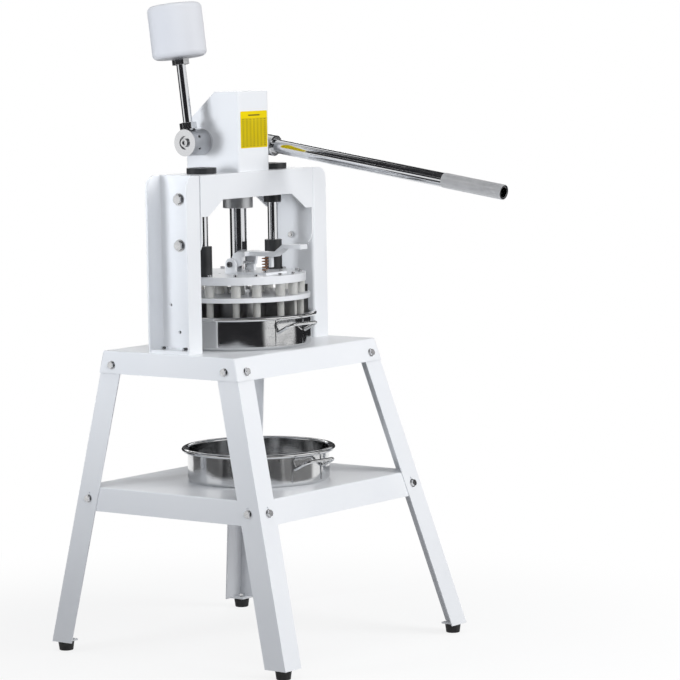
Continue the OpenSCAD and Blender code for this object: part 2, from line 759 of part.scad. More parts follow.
module ram() {
  rack_low_z = shaft_z - (rack_down + 0.5) * tooth_pitch;
  slot_low_z = tongue_z - tongue_t;
  color(steel) difference() {
    union() {
      translate([0, 0, carrier_top_z]) rod(ram_d, ram_top_z - carrier_top_z);
      translate([0, 0, carrier_top_z]) rod(ram_foot_d, ram_foot_h);
      translate([0, 0, carrier_z + carrier_t / 3]) rod(ram_d, carrier_t);
    }
    translate([-ram_d, rack_tip_y, rack_low_z]) cube([2 * ram_d, ram_d, ram_top_z]);
    for (k = [-rack_down:rack_up]) translate([0, 0, shaft_z + (k + 0.5) * tooth_pitch])
      side_outline(2 * ram_d) rack_gap();
    translate([-ram_d, -ram_d - ram_r + tongue_depth + face_gap, slot_low_z])
      cube([2 * ram_d, ram_d, head_lift + 3 * tongue_t]);
    ram_screw_places(carrier_z) rod(screw_d, carrier_t + 2 * ram_foot_h);
  }
}
module ram_screw_places(z) {
  for (k = [0:3]) rotate(sector * (2 * k + 1)) translate([(ram_foot_d + ram_d) / 4, 0, z]) children();
}
module ram_screws() {
  color(dark_steel) ram_screw_places(carrier_top_z + ram_foot_h)
    screw(screw_d, ram_foot_h + carrier_t / 2, (ram_foot_d - ram_d) / 2 - 2 * face_gap, screw_head_h);
}
module ram_collar() {
  color(steel) translate([0, 0, beam_z - collar_drop])
    ring(collar_d, ram_d + 2 * run_play, collar_drop - beam_t);
}

// Lever and counterweight
module along_lever() { translate([lever_x, shaft_y, shaft_z]) rotate([90 + lever_droop, 0, 0]) children(); }
module along_arm() { translate([arm_x, shaft_y, shaft_z]) rotate([-arm_lean, 0, 0]) children(); }
module lever_hub() {
  rim = socket_d / 20;
  color(steel) difference() {
    union() {
      translate([side_x, shaft_y, shaft_z]) along_x() rod(lever_hub_d, lever_hub_w);
      along_lever() {
        translate([0, 0, shaft_d / 2]) rod(socket_d, socket_len - shaft_d / 2 - rim);
        translate([0, 0, socket_len - rim]) cylinder(d1 = socket_d, d2 = socket_d - 2 * rim, h = rim);
      }
    }
    translate([side_x - overrun, shaft_y, shaft_z]) along_x() rod(shaft_d, shaft_right_x - side_x + overrun);
    along_lever() translate([0, 0, lever_hub_d / 2 + rim]) rod(lever_d, socket_len);
  }
}
module lever_tube() {
  start = lever_hub_d / 2 + socket_d / 20;
  color(steel) along_lever() translate([0, 0, start]) ring(lever_d, lever_bore, lever_reach - start);
}
module lever_grip() {
  color(steel) along_lever() translate([0, 0, lever_reach - grip_len]) difference() {
    linear_extrude(grip_len) polygon([for (i = [0:2 * grip_ribs - 1]) let (a = half_turn * i / grip_ribs)
      (grip_d / 2 - (i % 2) * grip_groove) * [cos(a), sin(a)]]);
    translate([0, 0, -overrun]) rod(lever_d, grip_len + 2 * overrun, $fn = bore_facets);
  }
}
module hub_screw_places() {
  for (turn = [-1, 1]) translate([arm_x, shaft_y, shaft_z]) rotate([90 + turn * sector * 0.6, 0, 0])
    children();
}
module weight_hub() {
  color(steel) difference() {
    translate([-side_x - hub_w, shaft_y, shaft_z]) along_x() rod(hub_d, hub_w);
    translate([shaft_left_x, shaft_y, shaft_z]) along_x() rod(shaft_d, hub_w);
    translate([-side_x - hub_w - overrun, shaft_y, shaft_z]) along_x() {
      rod(screw_d + 2 * hole_play, hub_w);
      rod(2 * screw_head_d + 2 * screw_d, screw_head_h + overrun);
    }
    along_arm() translate([0, 0, arm_root / 2]) rod(arm_d, hub_d);
    hub_screw_places() translate([0, 0, arm_root / 2]) rod(screw_d + 2 * washer_t, hub_d);
  }
}
module hub_end_screw() {
  color(dark_steel) translate([-side_x - hub_w + screw_head_h, shaft_y, shaft_z]) mirror([1, 0, 0]) along_x()
    screw(screw_d, hub_w / 4, 2 * screw_head_d, 1.6 * screw_head_h);
}
module hub_set_screws() {
  set_d = screw_d + 2 * washer_t;
  color(dark_steel) hub_screw_places() translate([0, 0, shaft_d / 2 + face_gap]) difference() {
    rod(set_d, (hub_d - shaft_d) / 2 - washer_t - face_gap);
    translate([0, 0, (hub_d - shaft_d) / 4]) hex(set_d / 2, hub_d);
  }
}
module weight_arm() {
  color(steel) along_arm() translate([0, 0, arm_root]) rod(arm_d, weight_reach + weight_h / 2 - arm_root);
}
module weight_nuts() {
  color(steel) along_arm() {
    translate([0, 0, hub_d / 2]) hex_nut(arm_d, arm_nut_w, arm_nut_t);
    translate([0, 0, weight_reach - arm_nut_t]) hex_nut(arm_d, arm_nut_w, arm_nut_t);
  }
}
module counterweight() {
  edge = weight_edge_r;
  color(white) along_arm() translate([0, 0, weight_reach]) difference() {
    rotate_extrude() {
      square([weight_d / 2 - edge, weight_h]);
      translate([0, edge]) square([weight_d / 2, weight_h - 2 * edge]);
      for (z = [edge, weight_h - edge]) translate([weight_d / 2 - edge, z])
        intersection() { circle(edge); translate([0, -edge]) square([edge, 2 * edge]); }
    }
    translate([0, 0, -overrun]) rod(arm_d, weight_h / 2 + overrun);
  }
}

// Guides
module guide_bush_right() {
  color(black) translate([rod_gap / 2, 0, beam_z]) difference() {
    union() {
      rod(bush_flange_d, bush_flange_t);
      translate([0, 0, -bush_drop]) rod(bush_d, bush_drop + bush_flange_t);
    }
    translate([0, 0, -bush_drop - overrun])
      rod(rod_d + 2 * run_play, bush_drop + bush_flange_t + 2 * overrun);
  }
}
module guide_bush_left() { mirror([1, 0, 0]) guide_bush_right(); }
module guide_rod_right() {
  start = plate_z + plate_t / 3;
  color(steel) translate([rod_gap / 2, 0, start]) rod(rod_d, rod_top_z - start);
}
module guide_rod_left() { mirror([1, 0, 0]) guide_rod_right(); }
module rod_sleeve_right() {
  color(black) translate([rod_gap / 2, 0, plate_top_z]) ring(sleeve_d, rod_d + hole_play, sleeve_h);
}
module rod_sleeve_left() { mirror([1, 0, 0]) rod_sleeve_right(); }

// Press head
module outer_places(z) {
  for (k = [0:pad_count - 1]) for (turn = [-pillar_turn, pillar_turn])
    translate(polar(pillar_ring_r, (k + 0.5) * sector + turn)) translate([0, 0, z]) children();
}
module inner_places(z) {
  for (side = [-1, 1]) for (end = [-1, 1])
    translate([side * inner_pillar_x, end * inner_pillar_y, z]) children();
}
module pillar_places(z) {
  outer_places(z) children();
  inner_places(z) children();
}
module press_plate() {
  color(white) difference() {
    translate([0, 0, plate_z]) rod(plate_d, plate_t);
    translate([0, 0, plate_z - overrun]) rod(ram_d + 2 * run_play, plate_t + 2 * overrun);
    for (side = [-1, 1]) translate([side * rod_gap / 2, 0, plate_z + plate_t / 3]) rod(rod_d, plate_t);
    pillar_places(plate_z - overrun) rod(screw_d + hole_play, plate_t + 2 * overrun);
    inner_places(plate_top_z - 1.2 * screw_head_h) rod(screw_head_d + hole_play, plate_t);
    bracket_screw_places(plate_z + plate_t / 2) rod(screw_d, plate_t);
  }
}
module pillars() {
  color(white) difference() {
    pillar_places(0) {
      translate([0, 0, carrier_top_z + face_gap]) rod(pillar_d, plate_z - carrier_top_z - face_gap);
      translate([0, 0, pad_top_z]) rod(pillar_neck_d, plate_z - pad_top_z);
    }
    pillar_places(plate_z - plate_t) rod(screw_d, 2 * plate_t);
  }
}
module pillar_screws() {
  color(dark_steel) {
    outer_places(plate_top_z) screw(screw_d, plate_t + 2 * screw_head_h, screw_head_d, screw_head_h);
    inner_places(plate_top_z - 1.2 * screw_head_h)
      screw(screw_d, plate_t + screw_head_h, screw_head_d, screw_head_h);
  }
}
module knife_carrier() {
  color(white) difference() {
    translate([0, 0, carrier_z]) rod(carrier_d, carrier_t);
    translate([0, 0, carrier_z + carrier_t / 3]) rod(ram_d, carrier_t);
    pillar_places(carrier_z - overrun) rod(pillar_neck_d + 4 * face_gap, carrier_t + 2 * overrun);
    ram_screw_places(carrier_z + carrier_t / 3) rod(screw_d, carrier_t);
  }
}
module bumpers() {
  color(black) for (turn = [sector, sector + half_turn])
    translate(polar(carrier_d / 2 - bumper_d * 0.8, turn)) translate([0, 0, carrier_top_z])
      rod(bumper_d, bumper_h);
}
module knife_edge() {
  polygon([[-knife_t / 2, knife_h], [-knife_t / 2, knife_bevel], [0, 0], [knife_t / 2, knife_bevel],
    [knife_t / 2, knife_h]]);
}
module knife_ring() {
  color(steel) translate([0, 0, knife_z]) rotate_extrude() translate([knife_ring_r - knife_t / 2, 0])
    knife_edge();
}
module knife_blades() {
  length = knife_reach - knife_ring_r - face_gap;
  color(steel) for (k = [0:pad_count - 1]) rotate(k * sector)
    translate([0, -knife_ring_r - face_gap, knife_z]) rotate([90, 0, 0]) linear_extrude(length) knife_edge();
}
module centre_knife() {
  length = knife_ring_d - 2 * knife_t - 2 * face_gap;
  color(steel) translate([0, 0, knife_z]) rotate([90, 0, 0]) linear_extrude(length, center = true)
    knife_edge();
}
module outer_pads() {
  slit = knife_t + 2 * pad_gap;
  color(white) translate([0, 0, knife_z]) difference() {
    ring(2 * pad_out_r, knife_ring_d + 2 * pad_gap, pad_t);
    for (k = [0:pad_count - 1]) rotate(k * sector) translate([-slit / 2, -plate_d, -overrun])
      cube([slit, plate_d, pad_t + 2 * overrun]);
  }
}
module inner_pads() {
  slit = knife_t + 2 * pad_gap;
  color(white) translate([0, 0, knife_z]) difference() {
    rod(knife_ring_d - 2 * knife_t - 2 * pad_gap, pad_t);
    translate([-slit / 2, -plate_d, -overrun]) cube([slit, 2 * plate_d, pad_t + 2 * overrun]);
  }
}

// Latch
module bracket_screw_places(z) {
  for (side = [-1, 1]) for (y = [-bridge_front - screw_head_d, screw_head_d - bracket_front])
    translate([side * (bracket_w / 2 - screw_head_d), y, z]) children();
}
module latch_bracket() {
  color(white) difference() {
    union() {
      translate([-bracket_w / 2, -bracket_front, plate_top_z])
        cube([bracket_w, bracket_front + bracket_back, bracket_t]);
      for (side = [-1, 1]) translate([side * (bracket_w - ear_t) / 2, -pivot_front, 0]) {
        translate([-ear_t / 2, -ear_r, plate_top_z]) cube([ear_t, 2 * ear_r, pivot_rise]);
        translate([-ear_t / 2, 0, pivot_z]) along_x() cylinder(r = ear_r, h = ear_t);
      }
    }
    translate([0, 0, plate_top_z - overrun]) rod(ram_d + 4 * hole_play, plate_t);
    translate([-bracket_w, -pivot_front, pivot_z]) along_x() rod(pivot_d, 2 * bracket_w);
    bracket_screw_places(plate_top_z - overrun) rod(screw_d + hole_play, bracket_t + 2 * overrun);
  }
}
module bracket_screws() {
  color(dark_steel) bracket_screw_places(plate_top_z + bracket_t)
    screw(screw_d, bracket_t + plate_t / 3, screw_head_d, screw_head_h);
}
module yoke_side() {
  translate([-pivot_front, pivot_z]) circle(yoke_r);
  polygon([[yoke_r - pivot_front, pivot_z], [-pivot_front - yoke_r / 3, latch_z + latch_t / 2],
    [-bridge_back, latch_z + latch_t], [-bridge_front, latch_z + latch_t], [-bridge_front, latch_z],
    [-pin_y - 1.5 * pin_d, latch_z], [-pin_y - pin_d, pin_z - pin_d],
    [-pivot_front - yoke_r * 0.7, pivot_z - yoke_r * 0.7]]);
}
module latch_side() {
  top = latch_z + latch_t;
  polygon([[-bridge_back, latch_z], [-bridge_back, top], [-handle_bend_y, top],
    [-handle_rise_y, top + handle_lift], [-handle_reach, top + handle_lift],
    [-handle_reach, latch_z + handle_lift], [-handle_rise_y, latch_z + handle_lift],
    [-handle_bend_y, latch_z]]);
}
module latch_lever() {
  color(white) difference() {
    union() {
      for (side = [-1, 1]) translate([side * (yoke_x + yoke_t / 2), 0, 0]) side_outline(yoke_t) yoke_side();
      side_outline(latch_w) latch_side();
      translate([-yoke_x - yoke_t / 2, -bridge_front, latch_z])
        cube([2 * yoke_x + yoke_t, bridge_front - bridge_back, latch_t]);
      translate([-tongue_w / 2, -bridge_front, tongue_z])
        cube([tongue_w, bridge_front - ram_r + tongue_depth, tongue_t]);
      translate([-finger_w / 2, -finger_y, latch_z - finger_h])
        cube([finger_w, finger_t, finger_h + latch_t / 2]);
    }
    translate([-bracket_w, -pivot_front, pivot_z]) along_x() rod(pivot_d + 2 * run_play, 2 * bracket_w);
    translate([-yoke_x - yoke_t / 2, -pin_y, pin_z]) along_x() rod(pin_d, 2 * yoke_x + yoke_t);
  }
}
pin_d = pivot_d * 0.7;
pin_y = ram_r + pin_d;
pin_z = pivot_z + 0.7 * pin_d;
module latch_cross_pin() {
  color(steel) translate([-yoke_x - yoke_t / 2, -pin_y, pin_z]) along_x() rod(pin_d, 2 * yoke_x + yoke_t);
}
module latch_pivots() {
  color(dark_steel) for (side = [-1, 1]) flip_x(side < 0)
    translate([bracket_w / 2, -pivot_front, pivot_z]) along_x()
      screw(pivot_d, ear_t + face_gap + yoke_t - face_gap, 1.7 * pivot_d, 0.7 * pivot_d);
}
spring_steps = 8;
spring_sides = 6;
function spring_point(i) = let (a = 2 * half_turn * i / spring_steps, share = i / spring_steps / spring_curls)
  [spring_r * cos(a), spring_r * sin(a), spring_low_z + (spring_high_z - spring_low_z) * share];
spring_line = [for (i = [0:spring_steps * spring_curls]) spring_point(i)];
spring_gap = min([for (i = [0:len(spring_line) - 1]) for (j = [i + spring_steps / 2:1:len(spring_line) - 1])
  norm(spring_line[i] - spring_line[j])]) - spring_wire;
echo(spring_gap = spring_gap);
module latch_spring() {
  n = spring_sides;
  last = len(spring_line) - 1;
  points = [for (i = [0:last]) for (k = [0:n - 1])
    let (a = 2 * half_turn * i / spring_steps, b = 2 * half_turn * k / n, out = spring_wire / 2 * cos(b))
    spring_line[i] + [out * cos(a), out * sin(a), spring_wire / 2 * sin(b)]];
  faces = concat(
    [for (i = [0:last - 1]) for (k = [0:n - 1]) [i * n + k, (i + 1) * n + k, i * n + (k + 1) % n]],
    [for (i = [0:last - 1]) for (k = [0:n - 1])
      [(i + 1) * n + k, (i + 1) * n + (k + 1) % n, i * n + (k + 1) % n]],
    [for (k = [1:n - 2]) [0, k, k + 1]], [for (k = [1:n - 2]) [last * n, last * n + k + 1, last * n + k]]);
  color(copper) translate([0, -spring_front, 0]) polyhedron(points, faces);
}

// Pans
module pan() {
  flare_r = rim_roll_d / 2;
  roll_x = rim_r - flare_r;
  inner_x = pan_r - pan_t;
  color(steel) rotate_extrude() {
    square([pan_r - pan_corner_r, pan_t]);
    translate([pan_r - pan_corner_r, pan_corner_r]) intersection() {
      difference() { circle(pan_corner_r); circle(pan_corner_r - pan_t); }
      translate([0, -pan_corner_r]) square([pan_corner_r, pan_corner_r]);
    }
    translate([inner_x, pan_corner_r]) square([pan_t, pan_h - pan_corner_r - flare_r]);
    translate([inner_x + flare_r, pan_h - flare_r]) intersection() {
      difference() { circle(flare_r); circle(flare_r - pan_t); }
      translate([-flare_r, 0]) square([flare_r, flare_r]);
    }
    translate([inner_x + flare_r, pan_h - pan_t]) square([roll_x - inner_x - flare_r, pan_t]);
    translate([roll_x, pan_h - flare_r]) difference() { circle(flare_r); circle(flare_r - pan_t); }
  }
}
module pan_handle() {
  half = (pan_handle_w - pan_handle_d) / 2;
  bend_r = 2 * pan_handle_d;
  strap_t = 1.5 * pan_t;
  strap_w = 1.6 * pan_handle_d;
  root_y = sqrt(pan_r * pan_r - half * half) + strap_t / 2;
  leg = (rim_r + pan_handle_out - root_y) / cos(pan_handle_slope) - bend_r;
  color(steel) {
    intersection() {
      ring(2 * (pan_r + strap_t), pan_d, pan_h - rim_roll_d - face_gap);
      for (side = [-1, 1]) translate([side * half - strap_w / 2, -2 * pan_d, pan_corner_r])
        cube([strap_w, 2 * pan_d, pan_h]);
    }
    translate([0, -root_y, pan_handle_z]) rotate([90 - pan_handle_slope, 0, 0]) {
      for (side = [-1, 1]) flip_x(side < 0) {
        translate([half, 0, 0]) rod(pan_handle_d, leg);
        translate([half - bend_r, 0, leg]) rotate([90, 0, 0]) rotate_extrude(angle = 90)
          translate([bend_r, 0]) circle(d = pan_handle_d);
      }
      translate([bend_r - half, 0, leg + bend_r]) along_x() rod(pan_handle_d, 2 * (half - bend_r));
    }
  }
}
module press_pan() { translate([0, 0, table_z]) pan(); }
module press_pan_handle() { translate([0, 0, table_z]) rotate(press_pan_turn) pan_handle(); }
module shelf_pan() { translate([0, -shelf_pan_front, shelf_z]) pan(); }
module shelf_pan_handle() { translate([0, -shelf_pan_front, shelf_z]) rotate(shelf_pan_turn) pan_handle(); }

table_top();
shelf();
leg_front_left();
leg_front_right();
leg_back_left();
leg_back_right();
foot_plates();
rubber_feet();
foot_screws();
table_bolts();
shelf_bolts();
stand_nuts();
post_left();
post_right();
post_base_bolts();
beam();
beam_bolts();
beam_nuts();
gear_housing();
shaft_bushes();
ram_collar();
guide_bush_left();
guide_bush_right();
pinion_shaft();
pinion();
lever_hub();
lever_tube();
lever_grip();
weight_hub();
hub_end_screw();
hub_set_screws();
weight_arm();
weight_nuts();
counterweight();
ram();
ram_screws();
knife_carrier();
knife_ring();
knife_blades();
centre_knife();
bumpers();
press_plate();
pillars();
pillar_screws();
outer_pads();
inner_pads();
guide_rod_left();
guide_rod_right();
rod_sleeve_left();
rod_sleeve_right();
latch_bracket();
bracket_screws();
latch_lever();
latch_pivots();
latch_cross_pin();
latch_spring();
press_pan();
press_pan_handle();
shelf_pan();
shelf_pan_handle();
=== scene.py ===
# %% [markdown]
# Dough divider, dressed for a studio picture.
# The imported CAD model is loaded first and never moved. Every piece made below is either a copy of a CAD
# node with softened edges, or a new piece that sits on one, and it rides on the body that carries it.

# %% Load the frame
import math

import bpy
from mathutils import Matrix, Vector
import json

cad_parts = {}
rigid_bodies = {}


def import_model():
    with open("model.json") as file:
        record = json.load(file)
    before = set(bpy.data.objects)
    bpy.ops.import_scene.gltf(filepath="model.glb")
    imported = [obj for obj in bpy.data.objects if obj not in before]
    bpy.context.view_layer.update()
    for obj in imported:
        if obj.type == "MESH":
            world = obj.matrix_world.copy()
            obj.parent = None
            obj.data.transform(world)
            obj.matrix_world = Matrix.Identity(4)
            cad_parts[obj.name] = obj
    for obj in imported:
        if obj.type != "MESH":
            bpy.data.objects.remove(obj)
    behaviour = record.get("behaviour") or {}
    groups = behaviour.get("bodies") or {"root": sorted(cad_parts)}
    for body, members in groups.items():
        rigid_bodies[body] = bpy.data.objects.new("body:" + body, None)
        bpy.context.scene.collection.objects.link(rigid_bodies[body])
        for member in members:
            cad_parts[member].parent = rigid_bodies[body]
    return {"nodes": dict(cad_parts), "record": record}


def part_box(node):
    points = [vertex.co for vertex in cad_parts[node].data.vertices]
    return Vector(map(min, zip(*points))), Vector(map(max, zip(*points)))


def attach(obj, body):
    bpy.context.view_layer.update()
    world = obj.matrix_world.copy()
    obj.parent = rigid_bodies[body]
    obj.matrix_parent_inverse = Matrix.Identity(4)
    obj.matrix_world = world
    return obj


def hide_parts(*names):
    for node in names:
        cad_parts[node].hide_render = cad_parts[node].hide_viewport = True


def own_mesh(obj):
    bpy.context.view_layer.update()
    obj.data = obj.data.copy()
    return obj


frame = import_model()
scene = bpy.context.scene
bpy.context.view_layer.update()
nodes = frame["nodes"]
body_of_node = {}
for body_name, members in frame["record"]["behaviour"]["bodies"].items():
    for member in members:
        body_of_node[member] = body_name

# %% [markdown]
# The camera stands at the left front, a little above the table, with a long lens, as in the picture of
# the real machine. Its turn, pitch and roll come from a fit of the table, posts and pans, so no part has
# to be nudged to match the picture.

# %% Camera
yaw, pitch, roll = math.radians(53.104), math.radians(5.649), math.radians(0.939)
camera_place = (-6.0639, -4.8520, 1.4937)
focal_pixels, picture_pixels, sensor_mm = 3237, 680, 36
level_right = Vector((math.cos(yaw), -math.sin(yaw), 0))
backward = Vector((-math.sin(yaw) * math.cos(pitch), -math.cos(yaw) * math.cos(pitch), math.sin(pitch)))
level_up = backward.cross(level_right)
camera_right = level_right * math.cos(roll) - level_up * math.sin(roll)
camera_up = level_right * math.sin(roll) + level_up * math.cos(roll)
camera_data = bpy.data.cameras.new("photo_camera")
camera_data.sensor_width = sensor_mm
camera_data.lens = focal_pixels / picture_pixels * sensor_mm
camera_data.clip_end = 100
camera = bpy.data.objects.new("photo_camera", camera_data)
scene.collection.objects.link(camera)
camera.matrix_world = Matrix.Translation(camera_place) @ Matrix(
    (camera_right, camera_up, backward)).transposed().to_4x4()
bpy.context.scene.camera = camera
print("lens", round(camera_data.lens, 1), "mm")

# %% [markdown]
# A machine of white paint and bright steel is lit best by a few large soft lamps. The key lamp is a wide one
# at the front right, so the front faces are brightest. A second, small and near, stands at the left. It
# throws the shadow of the counterweight hub on the housing, and its narrow beam leaves the legs darker
# towards the floor. A fill from beside the camera opens the shadows. Steel would show these three as hard
# white squares, and paint would bleach where it mirrors them, so no mirror-like ray meets them. One lamp
# above and one behind draw the bright borders.

# %% Lamps
scene.view_settings.view_transform = "Standard"


def soft_lamp(name, place, target, size, watts, tint=(1, 1, 1)):
    """Returns a square lamp that stands at place and looks at target."""
    data = bpy.data.lights.new(name, "AREA")
    data.shape = "RECTANGLE"
    data.size, data.size_y = size
    data.energy = watts
    data.color = tint
    lamp = bpy.data.objects.new(name, data)
    scene.collection.objects.link(lamp)
    lamp.location = place
    lamp.rotation_euler = (Vector(target) - Vector(place)).to_track_quat("-Z", "Y").to_euler()
    return lamp


key_lamp = soft_lamp("key_lamp", place=(0.9, -3.6, 2.4), target=(0, 0, 0.9), size=(2.6, 2.2), watts=110)
left_lamp = soft_lamp("left_lamp", place=(-1.6, 0.62, 1.2), target=(0, 0, 1.45), size=(0.5, 0.5), watts=8.1,
                      tint=(0.93, 0.96, 1.0))
fill_lamp = soft_lamp("fill_lamp", place=(-3.6, -3.9, 2.3), target=(0, 0, 0.8), size=(3.0, 2.4), watts=90,
                      tint=(0.95, 0.975, 1.0))
left_lamp.data.spread = math.radians(120)
key_lamp.visible_glossy = left_lamp.visible_glossy = fill_lamp.visible_glossy = False
soft_lamp("top_lamp", place=(-0.3, 0.2, 4.8), target=(0, 0, 0.8), size=(2.4, 2.4), watts=44)
soft_lamp("back_lamp", place=(3.4, 3.0, 2.4), target=(0, 0, 0.9), size=(1.8, 2.2), watts=30)

# %% [markdown]
# Every shader below is made of nodes, and two kinds come up again and again: a sum of two numbers, and one
# shader laid over another. Each has a short function that sets up the node and returns its output, so a
# shader reads like a formula. Linking each node by hand would do the same in many more lines.

# %% Nodes as formulas
def set_or_link(tree, socket, value):
    """Gives a socket a fixed value or the output of another node."""
    if isinstance(value, bpy.types.NodeSocket):
        tree.links.new(value, socket)
    else:
        socket.default_value = value


def reckon(tree, operation, first, second=0.0):
    """Returns the result of a sum with one or two numbers or sockets."""
    node = tree.nodes.new("ShaderNodeMath")
    node.operation = operation
    set_or_link(tree, node.inputs[0], first)
    set_or_link(tree, node.inputs[1], second)
    return node.outputs[0]


def laid_over(tree, share, under, over):
    """Returns a share of one shader over another."""
    node = tree.nodes.new("ShaderNodeMixShader")
    for socket, value in zip(node.inputs, (share, under, over)):
        tree.links.new(value, socket)
    return node.outputs[0]


# %% [markdown]
# The world gives a weak, slightly cool fill. Rays that look at it directly, or by way of metal or glass,
# meet plain white, so the picture has a white background without more light on the machine.

# %% World
def seen_directly(tree):
    """Returns a socket that is 1 for rays from the camera, from metal and through glass."""
    path = tree.nodes.new("ShaderNodeLightPath").outputs
    straight = reckon(tree, "MAXIMUM", path["Is Camera Ray"], path["Is Glossy Ray"])
    return reckon(tree, "MAXIMUM", straight, path["Is Transmission Ray"])


world = bpy.data.worlds.new("studio_world")
scene.world = world
world.use_nodes = True
world_tree = world.node_tree
world_tree.nodes.clear()
ambient = world_tree.nodes.new("ShaderNodeBackground")
ambient.inputs["Color"].default_value = (0.92, 0.95, 1.0, 1)
ambient.inputs["Strength"].default_value = 0.25
white_sky = world_tree.nodes.new("ShaderNodeBackground")
white_sky.inputs["Color"].default_value = (1, 1, 1, 1)
white_sky.inputs["Strength"].default_value = 1.0
sky = laid_over(world_tree, seen_directly(world_tree), ambient.outputs[0], white_sky.outputs[0])
world_out = world_tree.nodes.new("ShaderNodeOutputWorld")
world_tree.links.new(sky, world_out.inputs["Surface"])
print("world nodes", len(world_tree.nodes))

# %% [markdown]
# Light, cloth and paint seldom change at a hard line. A soft step leads from one value to another without
# one, and a tone between two tones does so for colours. A colour ramp could do both, but its stops are set in
# shares of its length, and the steps here are set in metres and degrees.

# %% Soft steps and tones
def fade(tree, value, start, end, first=1.0, last=0.0):
    """Returns a socket that goes softly from first, where value is start, to last, where it is end."""
    node = tree.nodes.new("ShaderNodeMapRange")
    node.interpolation_type = "SMOOTHSTEP"
    tree.links.new(value, node.inputs["Value"])
    node.inputs["From Min"].default_value, node.inputs["From Max"].default_value = start, end
    node.inputs["To Min"].default_value, node.inputs["To Max"].default_value = first, last
    return node.outputs["Result"]


def tone_between(tree, share, first, second):
    """Returns the tone at a share of the way between two colours or sockets."""
    node = tree.nodes.new("ShaderNodeMix")
    node.data_type = "RGBA"
    tree.links.new(share, node.inputs["Factor"])
    for label, tone in (("A", first), ("B", second)):
        set_or_link(tree, node.inputs[label], (*tone, 1) if isinstance(tone, tuple) else tone)
    return node.outputs["Result"]


# %% [markdown]
# The floor is one large pale sheet. Near the machine a part of it stays ordinary paint, which keeps the
# shadow of the feet. Further out the seen floor turns to plain white, so no horizon shows. The light that
# it throws back up is that of a grey studio floor, so the undersides of the table and shelf stay darker.

# %% Floor
def level_sheet(name, side, height):
    """Returns a level square plane, with its place in its mesh."""
    bpy.ops.object.select_all(action="DESELECT")
    bpy.ops.mesh.primitive_plane_add(size=side, location=(0, 0, height))
    sheet = bpy.context.active_object
    sheet.name = name
    bpy.ops.object.transform_apply(location=True, rotation=True, scale=True)
    return sheet


floor_side, shadow_reach, white_reach, white_near = 80, 0.5, 1.5, 0.82
floor = level_sheet("studio_floor", floor_side, 0)
floor_paint = bpy.data.materials.new("floor_paint")
floor_paint.use_nodes = True
floor_tree = floor_paint.node_tree
floor_tree.nodes.clear()
floor_seen = seen_directly(floor_tree)
floor_diffuse = floor_tree.nodes.new("ShaderNodeBsdfDiffuse")
floor_tone = tone_between(floor_tree, floor_seen, (0.34, 0.34, 0.35), (0.82, 0.82, 0.82))
floor_tree.links.new(floor_tone, floor_diffuse.inputs["Color"])
floor_white = floor_tree.nodes.new("ShaderNodeEmission")
floor_white.inputs["Strength"].default_value = 1.0
floor_place = floor_tree.nodes.new("ShaderNodeTexCoord")
floor_reach = floor_tree.nodes.new("ShaderNodeVectorMath")
floor_reach.operation = "LENGTH"
floor_tree.links.new(floor_place.outputs["Object"], floor_reach.inputs[0])
floor_fade = fade(floor_tree, floor_reach.outputs["Value"], shadow_reach, white_reach, white_near, 1.0)
floor_share = reckon(floor_tree, "MULTIPLY", floor_seen, floor_fade)
floor_look = laid_over(floor_tree, floor_share, floor_diffuse.outputs[0], floor_white.outputs[0])
floor_out = floor_tree.nodes.new("ShaderNodeOutputMaterial")
floor_tree.links.new(floor_look, floor_out.inputs["Surface"])
floor.data.materials.append(floor_paint)
print("floor", tuple(floor.dimensions))

# %% [markdown]
# Polished steel shows whatever stands round it, and in an all-white room it would look like white paint.
# A photographer hangs black cloth out of the picture. Black planes would do, but each would need its own
# place and turn. Here a large clear sheet has black bands in its paint. Only mirror-like rays meet it, so it
# draws dark bands on bars and pans and takes no light from the paint. Real cloth out of focus has no hard
# border, so the black fades out at its borders.

# %% Black cloth
cloth_black = (0.022, 0.022, 0.024, 1)
turn_border = 4


def black_cloth(cloth, along, bands):
    """Paints a stage sheet black in bands along its height or its reach. A band has the middle and half width
    of its turn round the machine in degrees, its lowest and highest value along the sheet, the width of its
    soft border, and how much of the light it takes."""
    paint = bpy.data.materials.new(cloth.name + "_black")
    paint.use_nodes = True
    tree = paint.node_tree
    tree.nodes.clear()
    place = tree.nodes.new("ShaderNodeTexCoord")
    split = tree.nodes.new("ShaderNodeSeparateXYZ")
    tree.links.new(place.outputs["Object"], split.inputs[0])
    x, y, z = split.outputs
    turn = reckon(tree, "ARCTAN2", y, x)
    square = reckon(tree, "ADD", reckon(tree, "MULTIPLY", x, x), reckon(tree, "MULTIPLY", y, y))
    value = z if along == "height" else reckon(tree, "SQRT", square)
    mask = None
    for middle, half, low, high, border, share in bands:
        aside = reckon(tree, "PINGPONG", reckon(tree, "SUBTRACT", turn, math.radians(middle)), math.pi)
        band = fade(tree, aside, math.radians(half - turn_border), math.radians(half + turn_border))
        band = reckon(tree, "MULTIPLY", band, fade(tree, value, high, high + border))
        band = reckon(tree, "MULTIPLY", band, fade(tree, value, low, low - border))
        band = reckon(tree, "MULTIPLY", band, share)
        mask = band if mask is None else reckon(tree, "MAXIMUM", mask, band)
    clear = tree.nodes.new("ShaderNodeBsdfTransparent")
    black = tree.nodes.new("ShaderNodeEmission")
    black.inputs["Color"].default_value = cloth_black
    out = tree.nodes.new("ShaderNodeOutputMaterial")
    tree.links.new(laid_over(tree, mask, clear.outputs[0], black.outputs[0]), out.inputs["Surface"])
    cloth.data.materials.append(paint)
    cloth.visible_camera = cloth.visible_diffuse = cloth.visible_shadow = False
    cloth.visible_transmission = cloth.visible_volume_scatter = False


